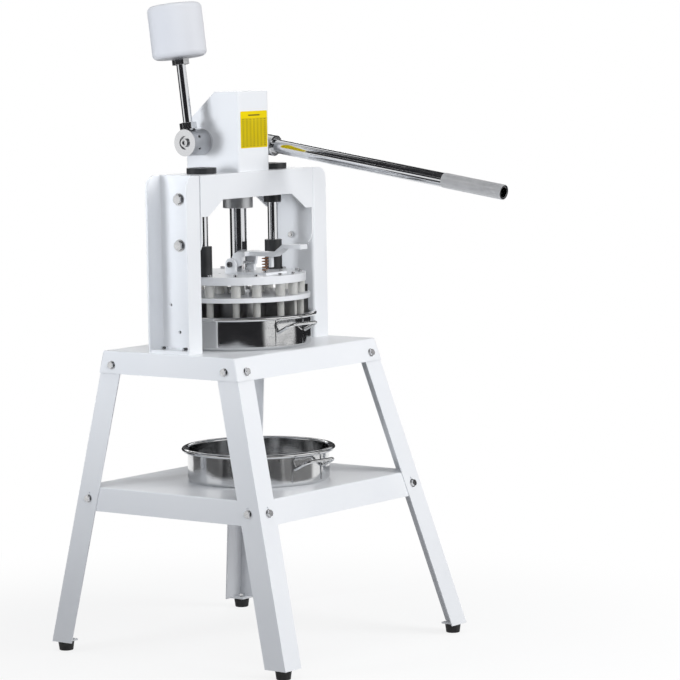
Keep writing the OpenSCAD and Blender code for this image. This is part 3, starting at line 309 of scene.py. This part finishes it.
# %% [markdown]
# Three sheets carry the bands: one stands round the machine, one hangs over it and one lies on the floor.
# An upright face seen from a little above mirrors the floor two to four metres away, so the bands on the
# floor are there for the rods, the pans and the gloss of the paint. A band's turn counts from the right of
# the machine towards its back.

# %% Sheets of cloth
cloth_reach, cloth_top, roof_height, sheet_side, floor_gap = 3.9, 3.4, 3.5, 8, 0.003
camera_side, far_side, left_side, front_side = (207, 50), (39, 84), (140, 24), (284, 28)
left_floor, left_floor_far, roof_front, all_round = (120, 36), (128, 40), (260, 145), (0, 190)
no_border = -1

bpy.ops.object.select_all(action="DESELECT")
bpy.ops.mesh.primitive_cylinder_add(vertices=128, radius=cloth_reach, depth=cloth_top,
                                    end_fill_type="NOTHING", location=(0, 0, cloth_top / 2))
side_cloth = bpy.context.active_object
side_cloth.name = "side_cloth"
bpy.ops.object.transform_apply(location=True, rotation=True, scale=True)
bpy.ops.object.shade_smooth()
black_cloth(side_cloth, "height", [
    (*camera_side, no_border, 2.4, 0.4, 1), (*far_side, no_border, 1.3, 0.5, 1),
    (*far_side, 2.15, cloth_top, 0.2, 1), (*left_side, 1.75, cloth_top, 0.25, 1),
    (*all_round, no_border, 0.25, 0.2, 1)])
black_cloth(level_sheet("roof_cloth", sheet_side, roof_height), "reach", [
    (*all_round, no_border, 1.0, 0.3, 1), (*roof_front, no_border, 3.7, 0.3, 1)])
black_cloth(level_sheet("floor_cloth", sheet_side, floor_gap), "reach", [
    (*camera_side, 2.1, 3.5, 0.3, 1), (*left_floor, 1.5, 2.7, 0.3, 1),
    (*left_floor_far, 2.7, 3.8, 0.3, 0.85), (*front_side, 1.3, 3.6, 0.3, 0.8)])

# %% [markdown]
# Three effects are shared by many finishes, so they are node groups. "fine_relief" is the faint unevenness
# of a coat or a casting, as a height. "tone_drift" is a slow change of tone and gloss over a surface.
# "tool_streaks" are the fine lines that turning, drawing or brushing leaves, stretched along one axis. A
# painted picture could do the same, but it would need unwrapped faces and would blur close up.

# %% Shared node groups
def group(name, inputs, outputs):
    """Returns an empty node group with its input and output nodes."""
    tree = bpy.data.node_groups.new(name, "ShaderNodeTree")
    for label, value in inputs:
        socket = tree.interface.new_socket(name=label, in_out="INPUT", socket_type="NodeSocketFloat")
        socket.default_value = value
    for label, kind in outputs:
        tree.interface.new_socket(name=label, in_out="OUTPUT", socket_type=kind)
    return tree, tree.nodes.new("NodeGroupInput"), tree.nodes.new("NodeGroupOutput")


relief, relief_in, relief_out = group("fine_relief", [("Scale", 700.0), ("Detail", 2.0)],
                                      [("Height", "NodeSocketFloat")])
r_place = relief.nodes.new("ShaderNodeTexCoord")
r_noise = relief.nodes.new("ShaderNodeTexNoise")
relief.links.new(r_place.outputs["Object"], r_noise.inputs["Vector"])
relief.links.new(relief_in.outputs["Scale"], r_noise.inputs["Scale"])
relief.links.new(relief_in.outputs["Detail"], r_noise.inputs["Detail"])
relief.links.new(r_noise.outputs["Fac"], relief_out.inputs["Height"])

drift, drift_in, drift_out = group("tone_drift", [("Scale", 6.0), ("Low", 0.0), ("High", 1.0)],
                                   [("Value", "NodeSocketFloat")])
d_place = drift.nodes.new("ShaderNodeTexCoord")
d_noise = drift.nodes.new("ShaderNodeTexNoise")
d_noise.inputs["Detail"].default_value = 5.0
d_range = drift.nodes.new("ShaderNodeMapRange")
d_range.inputs["From Min"].default_value = 0.3
d_range.inputs["From Max"].default_value = 0.7
drift.links.new(d_place.outputs["Object"], d_noise.inputs["Vector"])
drift.links.new(drift_in.outputs["Scale"], d_noise.inputs["Scale"])
drift.links.new(d_noise.outputs["Fac"], d_range.inputs["Value"])
drift.links.new(drift_in.outputs["Low"], d_range.inputs["To Min"])
drift.links.new(drift_in.outputs["High"], d_range.inputs["To Max"])
drift.links.new(d_range.outputs["Result"], drift_out.inputs["Value"])

streaks, streaks_in, streaks_out = group("tool_streaks", [("X", 40.0), ("Y", 40.0), ("Z", 900.0)],
                                         [("Height", "NodeSocketFloat")])
s_place = streaks.nodes.new("ShaderNodeTexCoord")
s_join = streaks.nodes.new("ShaderNodeCombineXYZ")
s_times = streaks.nodes.new("ShaderNodeVectorMath")
s_times.operation = "MULTIPLY"
s_noise = streaks.nodes.new("ShaderNodeTexNoise")
s_noise.inputs["Scale"].default_value = 1.0
s_noise.inputs["Detail"].default_value = 3.0
for axis in "XYZ":
    streaks.links.new(streaks_in.outputs[axis], s_join.inputs[axis])
streaks.links.new(s_place.outputs["Object"], s_times.inputs[0])
streaks.links.new(s_join.outputs[0], s_times.inputs[1])
streaks.links.new(s_times.outputs[0], s_noise.inputs["Vector"])
streaks.links.new(s_noise.outputs["Fac"], streaks_out.inputs["Height"])
print("node groups", [tree.name for tree in bpy.data.node_groups])

# %% [markdown]
# Every finish starts from one Principled shader. Tone and gloss drift a little over the surface, and a
# weak bump carries the texture that the hand would feel. An attribute named "edge", which the pieces below
# carry on their rounded edges, shifts the tone there. On the paint the lighter edge is a painted highlight
# along the bends; on bare steel, rubber and nylon it is the wear of edges that are handled more than faces.

# %% Finish builder
edge_share, gloss_fineness, bump_height, swell_detail = 0.5, 4, 0.001, 1.0


def use_group(tree, shared, values):
    """Returns the output of a shared node group with its own values."""
    node = tree.nodes.new("ShaderNodeGroup")
    node.node_tree = shared
    for label, value in values.items():
        node.inputs[label].default_value = value
    return node.outputs[0]


def raised(tree, height, strength, under=None):
    """Returns the normal of a surface with a fine relief, over that of a slower one."""
    node = tree.nodes.new("ShaderNodeBump")
    node.inputs["Strength"].default_value = strength
    node.inputs["Distance"].default_value = bump_height
    tree.links.new(height, node.inputs["Height"])
    if under is not None:
        tree.links.new(under, node.inputs["Normal"])
    return node.outputs["Normal"]


def finish(name, dark, light, rough, metallic=0.0, bump=0.02, texture=("fine_relief", {}), drift_scale=6.0,
           edge=None, wave=None):
    """Returns a material between two tones and two values of roughness. texture is a node group with its
    values, edge the tone of the edges, which is a painted highlight on paint and wear on steel and rubber,
    and wave the scale and strength of a slow swell in the sheet."""
    material = bpy.data.materials.new(name)
    material.use_nodes = True
    tree = material.node_tree
    shader = tree.nodes["Principled BSDF"]
    shader.inputs["Metallic"].default_value = metallic
    face_tone = tone_between(tree, use_group(tree, drift, {"Scale": drift_scale}), dark, light)
    # The edge attribute shifts the tone: a painted highlight along the bends of paint, wear on steel, rubber
    # and nylon.
    edge_wear_and_highlight = tree.nodes.new("ShaderNodeAttribute")
    edge_wear_and_highlight.attribute_name = "edge"
    edge_wear_and_highlight_share = reckon(tree, "MULTIPLY", edge_wear_and_highlight.outputs["Fac"], edge_share)
    tree.links.new(tone_between(tree, edge_wear_and_highlight_share, face_tone, edge or light), shader.inputs["Base Color"])
    gloss = use_group(tree, drift, {"Scale": drift_scale * gloss_fineness, "Low": rough[0], "High": rough[1]})
    tree.links.new(gloss, shader.inputs["Roughness"])
    swell = None
    if wave:
        scale, strength = wave
        swell = raised(tree, use_group(tree, relief, {"Scale": scale, "Detail": swell_detail}), strength)
    touch = use_group(tree, bpy.data.node_groups[texture[0]], texture[1])
    tree.links.new(raised(tree, touch, bump, swell), shader.inputs["Normal"])
    return material


# %% [markdown]
# Painted sheet and castings have a cool white powder coat with the faint dimples of its melt, under a weak
# gloss. The cast counterweight is a little greyer and duller. A plain white would look flat, and a stronger
# bump would look like sand.

# %% Paint
# The lighter edge tone of both paints is a painted highlight along their bends and edges.
powder_white = finish("powder_white", (0.80, 0.815, 0.84), (0.83, 0.842, 0.862), (0.29, 0.34), bump=0.05,
                      texture=("fine_relief", {"Scale": 480.0, "Detail": 1.0}), edge=(0.87, 0.875, 0.885))
powder_white.node_tree.nodes["Principled BSDF"].inputs["Coat Weight"].default_value = 0.2
weight_paint = finish("weight_paint", (0.66, 0.67, 0.705), (0.7, 0.71, 0.735), (0.42, 0.47), bump=0.05,
                      texture=("fine_relief", {"Scale": 260.0, "Detail": 2.0}), edge=(0.74, 0.745, 0.765))
print("paint", powder_white.name, weight_paint.name)

# %% [markdown]
# Bare steel comes from the lathe, the bar mill and the press. All of it is metal of much the same tone, so
# the pieces are told apart by their gloss and by their fine lines, which run round the hubs, the upright bars
# and the pans, and up and down on the knives. The pans also swell a little, as thin pressed sheet does. One
# steel for all would be shorter, but the pans would then look like castings or the hubs like mirrors.

# %% Steel
turned_steel = finish("turned_steel", (0.66, 0.67, 0.685), (0.78, 0.785, 0.8), (0.18, 0.24), 1.0, 0.06,
                      ("tool_streaks", {"X": 1400.0, "Y": 10.0, "Z": 10.0}), edge=(0.82, 0.82, 0.83))
turned_upright = finish("turned_upright", (0.62, 0.63, 0.645), (0.74, 0.75, 0.765), (0.36, 0.44), 1.0, 0.05,
                        ("tool_streaks", {"X": 10.0, "Y": 10.0, "Z": 1400.0}), edge=(0.82, 0.82, 0.83))
# A darker steel for the side of the counterweight hub: a painted shade, like the shaded housing wall it
# mirrors.
hub_side_shade_steel = finish("hub_side_shade_steel", (0.4, 0.405, 0.42), (0.54, 0.545, 0.56), (0.29, 0.36), 1.0, 0.06,
                     ("tool_streaks", {"X": 1400.0, "Y": 10.0, "Z": 10.0}), 14.0, edge=(0.74, 0.74, 0.75))
bolt_zinc = finish("bolt_zinc", (0.6, 0.605, 0.615), (0.74, 0.74, 0.75), (0.17, 0.24), 1.0, 0.05,
                   ("fine_relief", {"Scale": 900.0, "Detail": 3.0}), 60.0, edge=(0.8, 0.8, 0.8))
socket_black = finish("socket_black", (0.1, 0.1, 0.105), (0.17, 0.17, 0.175), (0.3, 0.45), 1.0, 0.05,
                      ("fine_relief", {"Scale": 1200.0, "Detail": 3.0}), 60.0, edge=(0.42, 0.42, 0.43))
bright_bar = finish("bright_bar", (0.66, 0.67, 0.69), (0.76, 0.77, 0.79), (0.07, 0.14), 1.0, 0.02,
                    ("tool_streaks", {"X": 80.0, "Y": 80.0, "Z": 2200.0}), edge=(0.85, 0.85, 0.86))
grip_steel = finish("grip_steel", (0.78, 0.785, 0.795), (0.86, 0.86, 0.87), (0.34, 0.46), 0.7, 0.06,
                    ("fine_relief", {"Scale": 1500.0, "Detail": 2.0}), 30.0, edge=(0.78, 0.78, 0.79))
pan_steel = finish("pan_steel", (0.7, 0.705, 0.71), (0.79, 0.795, 0.8), (0.07, 0.13), 1.0, 0.03,
                   ("tool_streaks", {"X": 30.0, "Y": 30.0, "Z": 2600.0}), edge=(0.8, 0.8, 0.8),
                   wave=(16.0, 0.6))
knife_steel = finish("knife_steel", (0.4, 0.405, 0.415), (0.5, 0.505, 0.515), (0.28, 0.36), 1.0, 0.04,
                     ("tool_streaks", {"X": 900.0, "Y": 900.0, "Z": 40.0}), edge=(0.75, 0.75, 0.75))
copper_wire = finish("copper_wire", (0.42, 0.2, 0.11), (0.62, 0.34, 0.2), (0.29, 0.42), 1.0, 0.05,
                     ("fine_relief", {"Scale": 1600.0, "Detail": 2.0}), 120.0)
print("steel", [m.name for m in bpy.data.materials if "steel" in m.name])

# %% [markdown]
# Feet and bumpers are rubber, the sleeves and bushes of the rods are black nylon, and the pads are an
# off-white plastic. The posts of the pads are frosted and slightly see-through, so they darken where it is
# dark behind them. A paler tone alone would look like paint there.

# %% Rubber and plastics
black_rubber = finish("black_rubber", (0.004, 0.004, 0.0045), (0.01, 0.01, 0.011), (0.55, 0.75), bump=0.2,
                      texture=("fine_relief", {"Scale": 900.0, "Detail": 4.0}), drift_scale=40.0,
                      edge=(0.02, 0.02, 0.021))
black_nylon = finish("black_nylon", (0.016, 0.017, 0.018), (0.028, 0.029, 0.031), (0.28, 0.42), bump=0.05,
                     texture=("tool_streaks", {"X": 60.0, "Y": 60.0, "Z": 1500.0}), drift_scale=30.0,
                     edge=(0.06, 0.06, 0.064))
pad_plastic = finish("pad_plastic", (0.62, 0.618, 0.59), (0.7, 0.695, 0.665), (0.4, 0.55), bump=0.08,
                     texture=("fine_relief", {"Scale": 700.0, "Detail": 2.0}), drift_scale=20.0,
                     edge=(0.76, 0.755, 0.735))
pillar_plastic = finish("pillar_plastic", (0.8, 0.795, 0.765), (0.86, 0.855, 0.83), (0.36, 0.46), bump=0.05,
                        texture=("tool_streaks", {"X": 60.0, "Y": 60.0, "Z": 1200.0}), drift_scale=20.0,
                        edge=(0.88, 0.875, 0.86))
pillar_plastic.node_tree.nodes["Principled BSDF"].inputs["Transmission Weight"].default_value = 0.5
print("finishes", len(bpy.data.materials))

# %% [markdown]
# The table and the shelf are trays folded from sheet, so their outer bends are round, by about twice the
# thickness of the sheet. A bevel over all sharp edges would round the cut lower border as much. The bends are
# found instead by where they are: the four borders of the top and the four upright corners.

# %% Bends of a folded sheet
corner_reach, bend_segments = 0.0002, 5


def round_bends(piece, radius):
    """Rounds the outside of the bends of a folded tray: its top borders and its corners."""
    mesh = piece.data
    top, low = max(v.co.z for v in mesh.vertices), min(v.co.z for v in mesh.vertices)
    corners = set()
    for level in (top, low):
        border = [v for v in mesh.vertices if abs(v.co.z - level) < corner_reach]
        for across, along in ((-1, -1), (-1, 1), (1, -1), (1, 1)):
            corners.add(max(border, key=lambda v: across * v.co.x + along * v.co.y).index)
    bpy.ops.object.mode_set(mode="EDIT")
    bpy.ops.mesh.select_mode(type="EDGE")
    bpy.ops.mesh.select_all(action="DESELECT")
    bpy.ops.object.mode_set(mode="OBJECT")
    for edge in mesh.edges:
        ends = [mesh.vertices[i] for i in edge.vertices]
        edge.select = all(v.index in corners for v in ends) and max(v.co.z for v in ends) > top - corner_reach
    print(piece.name, "bends", sum(edge.select for edge in mesh.edges))
    bpy.ops.object.mode_set(mode="EDIT")
    bpy.ops.mesh.bevel(offset=radius, segments=bend_segments, affect="EDGES")
    bpy.ops.mesh.select_mode(type="VERT")
    bpy.ops.object.mode_set(mode="OBJECT")


# %% [markdown]
# Sheet metal has broken edges and turned parts have small chamfers, but CAD solids are sharp. Each shown node
# is copied, its loose triangles are merged into flat faces, and a narrow bevel is applied to its sharp edges.
# Weighted normals keep the flats flat, so only the rounded edge catches the light. The faces of the bevel
# are marked in the attribute "edge" for the finish. The copy then stands for the node, in the same place.

# %% Softened copies
merge_reach, flat_angle, sharp_angle, smooth_angle = 0.000002, 0.3, 35, 32
sheet_bend = 0.004


def softened(node, width, material, bend=0.0):
    """Returns a copy of a node with edges broken by width and, on a folded tray, with round bends."""
    bpy.ops.object.select_all(action="DESELECT")
    source = nodes[node]
    source.hide_set(False)
    source.select_set(True)
    bpy.context.view_layer.objects.active = source
    bpy.ops.object.duplicate()
    piece = bpy.context.active_object
    piece.name = node + "_skin"
    bpy.ops.object.parent_clear(type="CLEAR_KEEP_TRANSFORM")
    bpy.ops.object.transform_apply(location=True, rotation=True, scale=True)
    bpy.ops.mesh.customdata_custom_splitnormals_clear()
    bpy.ops.object.mode_set(mode="EDIT")
    bpy.ops.mesh.select_all(action="SELECT")
    bpy.ops.mesh.remove_doubles(threshold=merge_reach)
    bpy.ops.mesh.dissolve_limited(angle_limit=math.radians(flat_angle))
    bpy.ops.object.mode_set(mode="OBJECT")
    if bend:
        round_bends(piece, bend)
    piece.data.materials.clear()
    piece.data.materials.append(material)
    piece.data.materials.append(material)
    piece.data.polygons.foreach_set("material_index", [0] * len(piece.data.polygons))
    bevel = piece.modifiers.new("broken_edge", "BEVEL")
    bevel.width = width
    bevel.segments = 2
    bevel.limit_method = "ANGLE"
    bevel.angle_limit = math.radians(sharp_angle)
    bevel.use_clamp_overlap = True
    bevel.miter_outer = "MITER_ARC"
    bevel.material = 1
    bpy.ops.object.modifier_apply(modifier=bevel.name)
    on_edge = [0] * len(piece.data.polygons)
    piece.data.polygons.foreach_get("material_index", on_edge)
    piece.data.attributes.new("edge", "FLOAT", "FACE").data.foreach_set("value", [float(v) for v in on_edge])
    piece.data.polygons.foreach_set("material_index", [0] * len(on_edge))
    piece.data.materials.pop(index=1)
    bpy.ops.object.shade_smooth_by_angle(angle=math.radians(smooth_angle))
    flats = piece.modifiers.new("flat_faces", "WEIGHTED_NORMAL")
    flats.keep_sharp = True
    bpy.ops.object.modifier_apply(modifier=flats.name)
    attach(piece, body_of_node[node])
    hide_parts(node)
    return piece


# %% [markdown]
# The width of a broken edge follows the piece: 0.3 to 0.5 mm on most screws and nuts, about 1 mm on folded
# sheet and bars, and 2.5 mm on the cast housing. One width for all would eat up the screws or leave the
# housing sharp. The side of the counterweight hub gets a darker steel than its end, a painted shade like that
# of the shaded housing wall it mirrors, and its faces are told apart by where they point.

# %% Pieces with softened edges
skins = {}
for node, width, material in (
        ("table_top", 0.0012, powder_white), ("shelf", 0.0012, powder_white),
        ("leg_front_left", 0.001, powder_white), ("leg_front_right", 0.001, powder_white),
        ("leg_back_left", 0.001, powder_white), ("leg_back_right", 0.001, powder_white),
        ("post_left", 0.0012, powder_white), ("post_right", 0.0012, powder_white),
        ("beam", 0.0012, powder_white), ("gear_housing", 0.0025, powder_white),
        ("press_plate", 0.0012, powder_white), ("knife_carrier", 0.001, powder_white),
        ("latch_bracket", 0.0012, powder_white), ("latch_lever", 0.0016, powder_white),
        ("foot_plates", 0.0005, powder_white), ("rubber_feet", 0.0015, black_rubber),
        ("guide_bush_left", 0.001, black_nylon), ("guide_bush_right", 0.001, black_nylon),
        ("ram_collar", 0.001, turned_upright), ("lever_hub", 0.0015, turned_steel),
        ("weight_hub", 0.0012, turned_steel), ("shaft_bushes", 0.0008, turned_steel),
        ("weight_nuts", 0.0008, bolt_zinc), ("rod_sleeve_left", 0.0015, black_nylon),
        ("rod_sleeve_right", 0.0015, black_nylon), ("bumpers", 0.0015, black_rubber),
        ("outer_pads", 0.0008, pad_plastic), ("inner_pads", 0.0008, pad_plastic),
        ("pillars", 0.0005, pillar_plastic), ("lever_tube", 0.0006, bright_bar),
        ("guide_rod_left", 0.0008, bright_bar), ("guide_rod_right", 0.0008, bright_bar),
        ("weight_arm", 0.0008, bright_bar),
        ("beam_bolts", 0.0005, bolt_zinc), ("beam_nuts", 0.0005, bolt_zinc),
        ("table_bolts", 0.0004, bolt_zinc), ("shelf_bolts", 0.0004, bolt_zinc),
        ("post_base_bolts", 0.0004, bolt_zinc), ("stand_nuts", 0.0004, bolt_zinc),
        ("foot_screws", 0.0004, bolt_zinc), ("hub_end_screw", 0.0003, bolt_zinc),
        ("pillar_screws", 0.0003, bolt_zinc), ("bracket_screws", 0.0003, bolt_zinc),
        ("latch_pivots", 0.0004, socket_black), ("latch_cross_pin", 0.0004, turned_steel)):
    skins[node] = softened(node, width, material, sheet_bend if node in ("table_top", "shelf") else 0.0)

# The side of the hub gets the darker steel, a painted shade; its end keeps the turned steel of the other
# hubs.
hub = skins["weight_hub"].data
hub.materials.append(hub_side_shade_steel)
end_share = 0.9
for face in hub.polygons:
    face.material_index = 0 if abs(face.normal.x) > end_share else 1
print("softened", len(skins), "triangles", sum(len(p.data.loop_triangles) for p in skins.values()))

# %% [markdown]
# The gears, the knives and the ribbed grip are already right as solids, so they keep their meshes and only
# get their finish.

# %% Finishes of the nodes that stay
kept = {
    "counterweight": weight_paint, "hub_set_screws": bolt_zinc, "pinion_shaft": turned_steel,
    "pinion": turned_steel, "lever_grip": grip_steel, "ram": bright_bar, "ram_screws": bolt_zinc,
    "knife_ring": knife_steel, "knife_blades": knife_steel, "centre_knife": knife_steel,
    "press_pan": pan_steel, "press_pan_handle": pan_steel, "shelf_pan": pan_steel,
    "shelf_pan_handle": pan_steel,
}
for node, material in kept.items():
    for slot in nodes[node].material_slots:
        slot.material = material
    if not nodes[node].material_slots:
        nodes[node].data.materials.append(material)
print("kept", len(kept))

# %% [markdown]
# A yellow table plate is stuck to the front of the housing. It is a plane with clipped corners, pressed out
# to the thickness of a sticker. A cube would do as well, but its corners would have to be cut afterwards.

# %% Table plate
plate_left, plate_right, plate_low, plate_high = -0.0505, 0.0515, 1.1935, 1.281
plate_corner, plate_thick, plate_rim = 0.003, 0.0005, 0.00018
housing_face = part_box("gear_housing")[0][1]
bpy.ops.object.select_all(action="DESELECT")
bpy.ops.mesh.primitive_plane_add(size=1, location=(0, 0, 0))
table_plate = bpy.context.active_object
table_plate.name = "table_plate"
table_plate.scale = (plate_right - plate_left, plate_high - plate_low, 1)
table_plate.rotation_euler = (math.radians(90), 0, 0)
table_plate.location = ((plate_left + plate_right) / 2, housing_face, (plate_low + plate_high) / 2)
bpy.ops.object.transform_apply(location=True, rotation=True, scale=True)
bpy.ops.object.mode_set(mode="EDIT")
bpy.ops.mesh.select_all(action="SELECT")
bpy.ops.mesh.bevel(offset=plate_corner, segments=4, affect="VERTICES")
bpy.ops.mesh.select_all(action="SELECT")
bpy.ops.mesh.extrude_region_move(TRANSFORM_OT_translate={"value": (0, -plate_thick, 0)})
bpy.ops.mesh.select_all(action="SELECT")
bpy.ops.mesh.normals_make_consistent(inside=False)
bpy.ops.object.mode_set(mode="OBJECT")
soft_rim = table_plate.modifiers.new("soft_rim", "BEVEL")
soft_rim.width, soft_rim.segments = plate_rim, 2
bpy.ops.object.modifier_apply(modifier=soft_rim.name)
bpy.ops.object.shade_smooth_by_angle(angle=math.radians(smooth_angle))
print("table plate", [round(v, 4) for v in table_plate.dimensions])

# %% [markdown]
# The print is a bare ruled table: a title bar, rules and one dash in each cell, with no words. Rules and
# dashes are worked out from the place on the plate, in millimetres, because lines made in this way stay
# sharp at any distance and need no picture file.

# %% Table plate print
table_print = finish("table_print", (0.75, 0.57, 0.0), (0.8, 0.615, 0.001), (0.42, 0.55), bump=0.03,
                     texture=("fine_relief", {"Scale": 900.0, "Detail": 2.0}), drift_scale=30.0)
print_tree = table_print.node_tree
print_shader = print_tree.nodes["Principled BSDF"]
print_shader.inputs["Specular IOR Level"].default_value = 0.2
column, row, margin = 13.7, 4.8, 3
upright_rule, level_rule = 0.3, 0.22
table_right, table_high = 99.3, 70.5
dash_reach, dash_rise = 4.2, 0.95
title_left, title_right, title_low, title_high = 29, 73, 76, 79.4
ink_tone, ink_share, mm = (0.09, 0.07, 0.015), 0.88, 1000


def ruled(operation, first, second):
    return reckon(print_tree, operation, first, second)


def within(value, low, high):
    return ruled("MULTIPLY", ruled("GREATER_THAN", value, low), ruled("LESS_THAN", value, high))


print_place = print_tree.nodes.new("ShaderNodeTexCoord")
print_split = print_tree.nodes.new("ShaderNodeSeparateXYZ")
print_tree.links.new(print_place.outputs["Object"], print_split.inputs[0])
across = ruled("MULTIPLY", ruled("SUBTRACT", print_split.outputs["X"], plate_left), mm)
upward = ruled("MULTIPLY", ruled("SUBTRACT", print_split.outputs["Z"], plate_low), mm)
from_rule_x = ruled("PINGPONG", ruled("SUBTRACT", across, margin), column / 2)
from_rule_z = ruled("PINGPONG", ruled("SUBTRACT", upward, margin), row / 2)
in_table = ruled("MULTIPLY", within(across, margin - upright_rule, table_right),
                 within(upward, margin - upright_rule, table_high))
rules = ruled("MAXIMUM", ruled("LESS_THAN", from_rule_x, upright_rule),
              ruled("LESS_THAN", from_rule_z, level_rule))
dashes = ruled("MULTIPLY", ruled("GREATER_THAN", from_rule_x, column / 2 - dash_reach),
               ruled("GREATER_THAN", from_rule_z, row / 2 - dash_rise))
title = ruled("MULTIPLY", within(across, title_left, title_right), within(upward, title_low, title_high))
ink = ruled("MAXIMUM", ruled("MULTIPLY", ruled("MAXIMUM", rules, dashes), in_table), title)
bare_tone = print_shader.inputs["Base Color"].links[0].from_socket
printed_tone = tone_between(print_tree, ruled("MULTIPLY", ink, ink_share), bare_tone, ink_tone)
print_tree.links.new(printed_tone, print_shader.inputs["Base Color"])
table_plate.data.materials.append(table_print)
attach(table_plate, "stand")
print("nodes of the table print", len(print_tree.nodes))

# %% [markdown]
# The latch spring is a wound wire. A screw-shaped curve with a round section gives smoother curls than the
# solid, over the same height and width. A screw modifier on a circle would do the same, but the curve keeps
# the section square to the wire.

# %% Latch spring
spring_low, spring_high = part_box("latch_spring")
wire_r, turns, turn_steps = 0.0011, 5, 24
coil_r = (spring_high[0] - spring_low[0]) / 2 - wire_r
middle_x = (spring_high[0] + spring_low[0]) / 2
middle_y = (spring_high[1] + spring_low[1]) / 2
coil_rise = spring_high[2] - spring_low[2] - 2 * wire_r
coil_points = []
for i in range(turns * turn_steps + 1):
    share = i / (turns * turn_steps)
    a = 2 * math.pi * turns * share
    coil_points.append((middle_x + coil_r * math.cos(a), middle_y + coil_r * math.sin(a),
                        spring_low[2] + wire_r + coil_rise * share))
coil_curve = bpy.data.curves.new("latch_coil", "CURVE")
coil_curve.dimensions = "3D"
coil_curve.bevel_depth = wire_r
coil_curve.bevel_resolution = 3
coil_curve.use_fill_caps = True
spline = coil_curve.splines.new("POLY")
spline.points.add(len(coil_points) - 1)
for point, place in zip(spline.points, coil_points):
    point.co = (*place, 1)
coil = bpy.data.objects.new("latch_coil", coil_curve)
scene.collection.objects.link(coil)
bpy.ops.object.select_all(action="DESELECT")
coil.select_set(True)
bpy.context.view_layer.objects.active = coil
bpy.ops.object.convert(target="MESH")
coil = bpy.context.active_object
bpy.ops.object.shade_smooth_by_angle(angle=math.radians(50))
coil.data.materials.clear()
coil.data.materials.append(copper_wire)
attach(coil, "head")
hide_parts("latch_spring")
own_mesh(coil)

# %% [markdown]
# Last, the json module is imported once more.

# %% Last import
import json
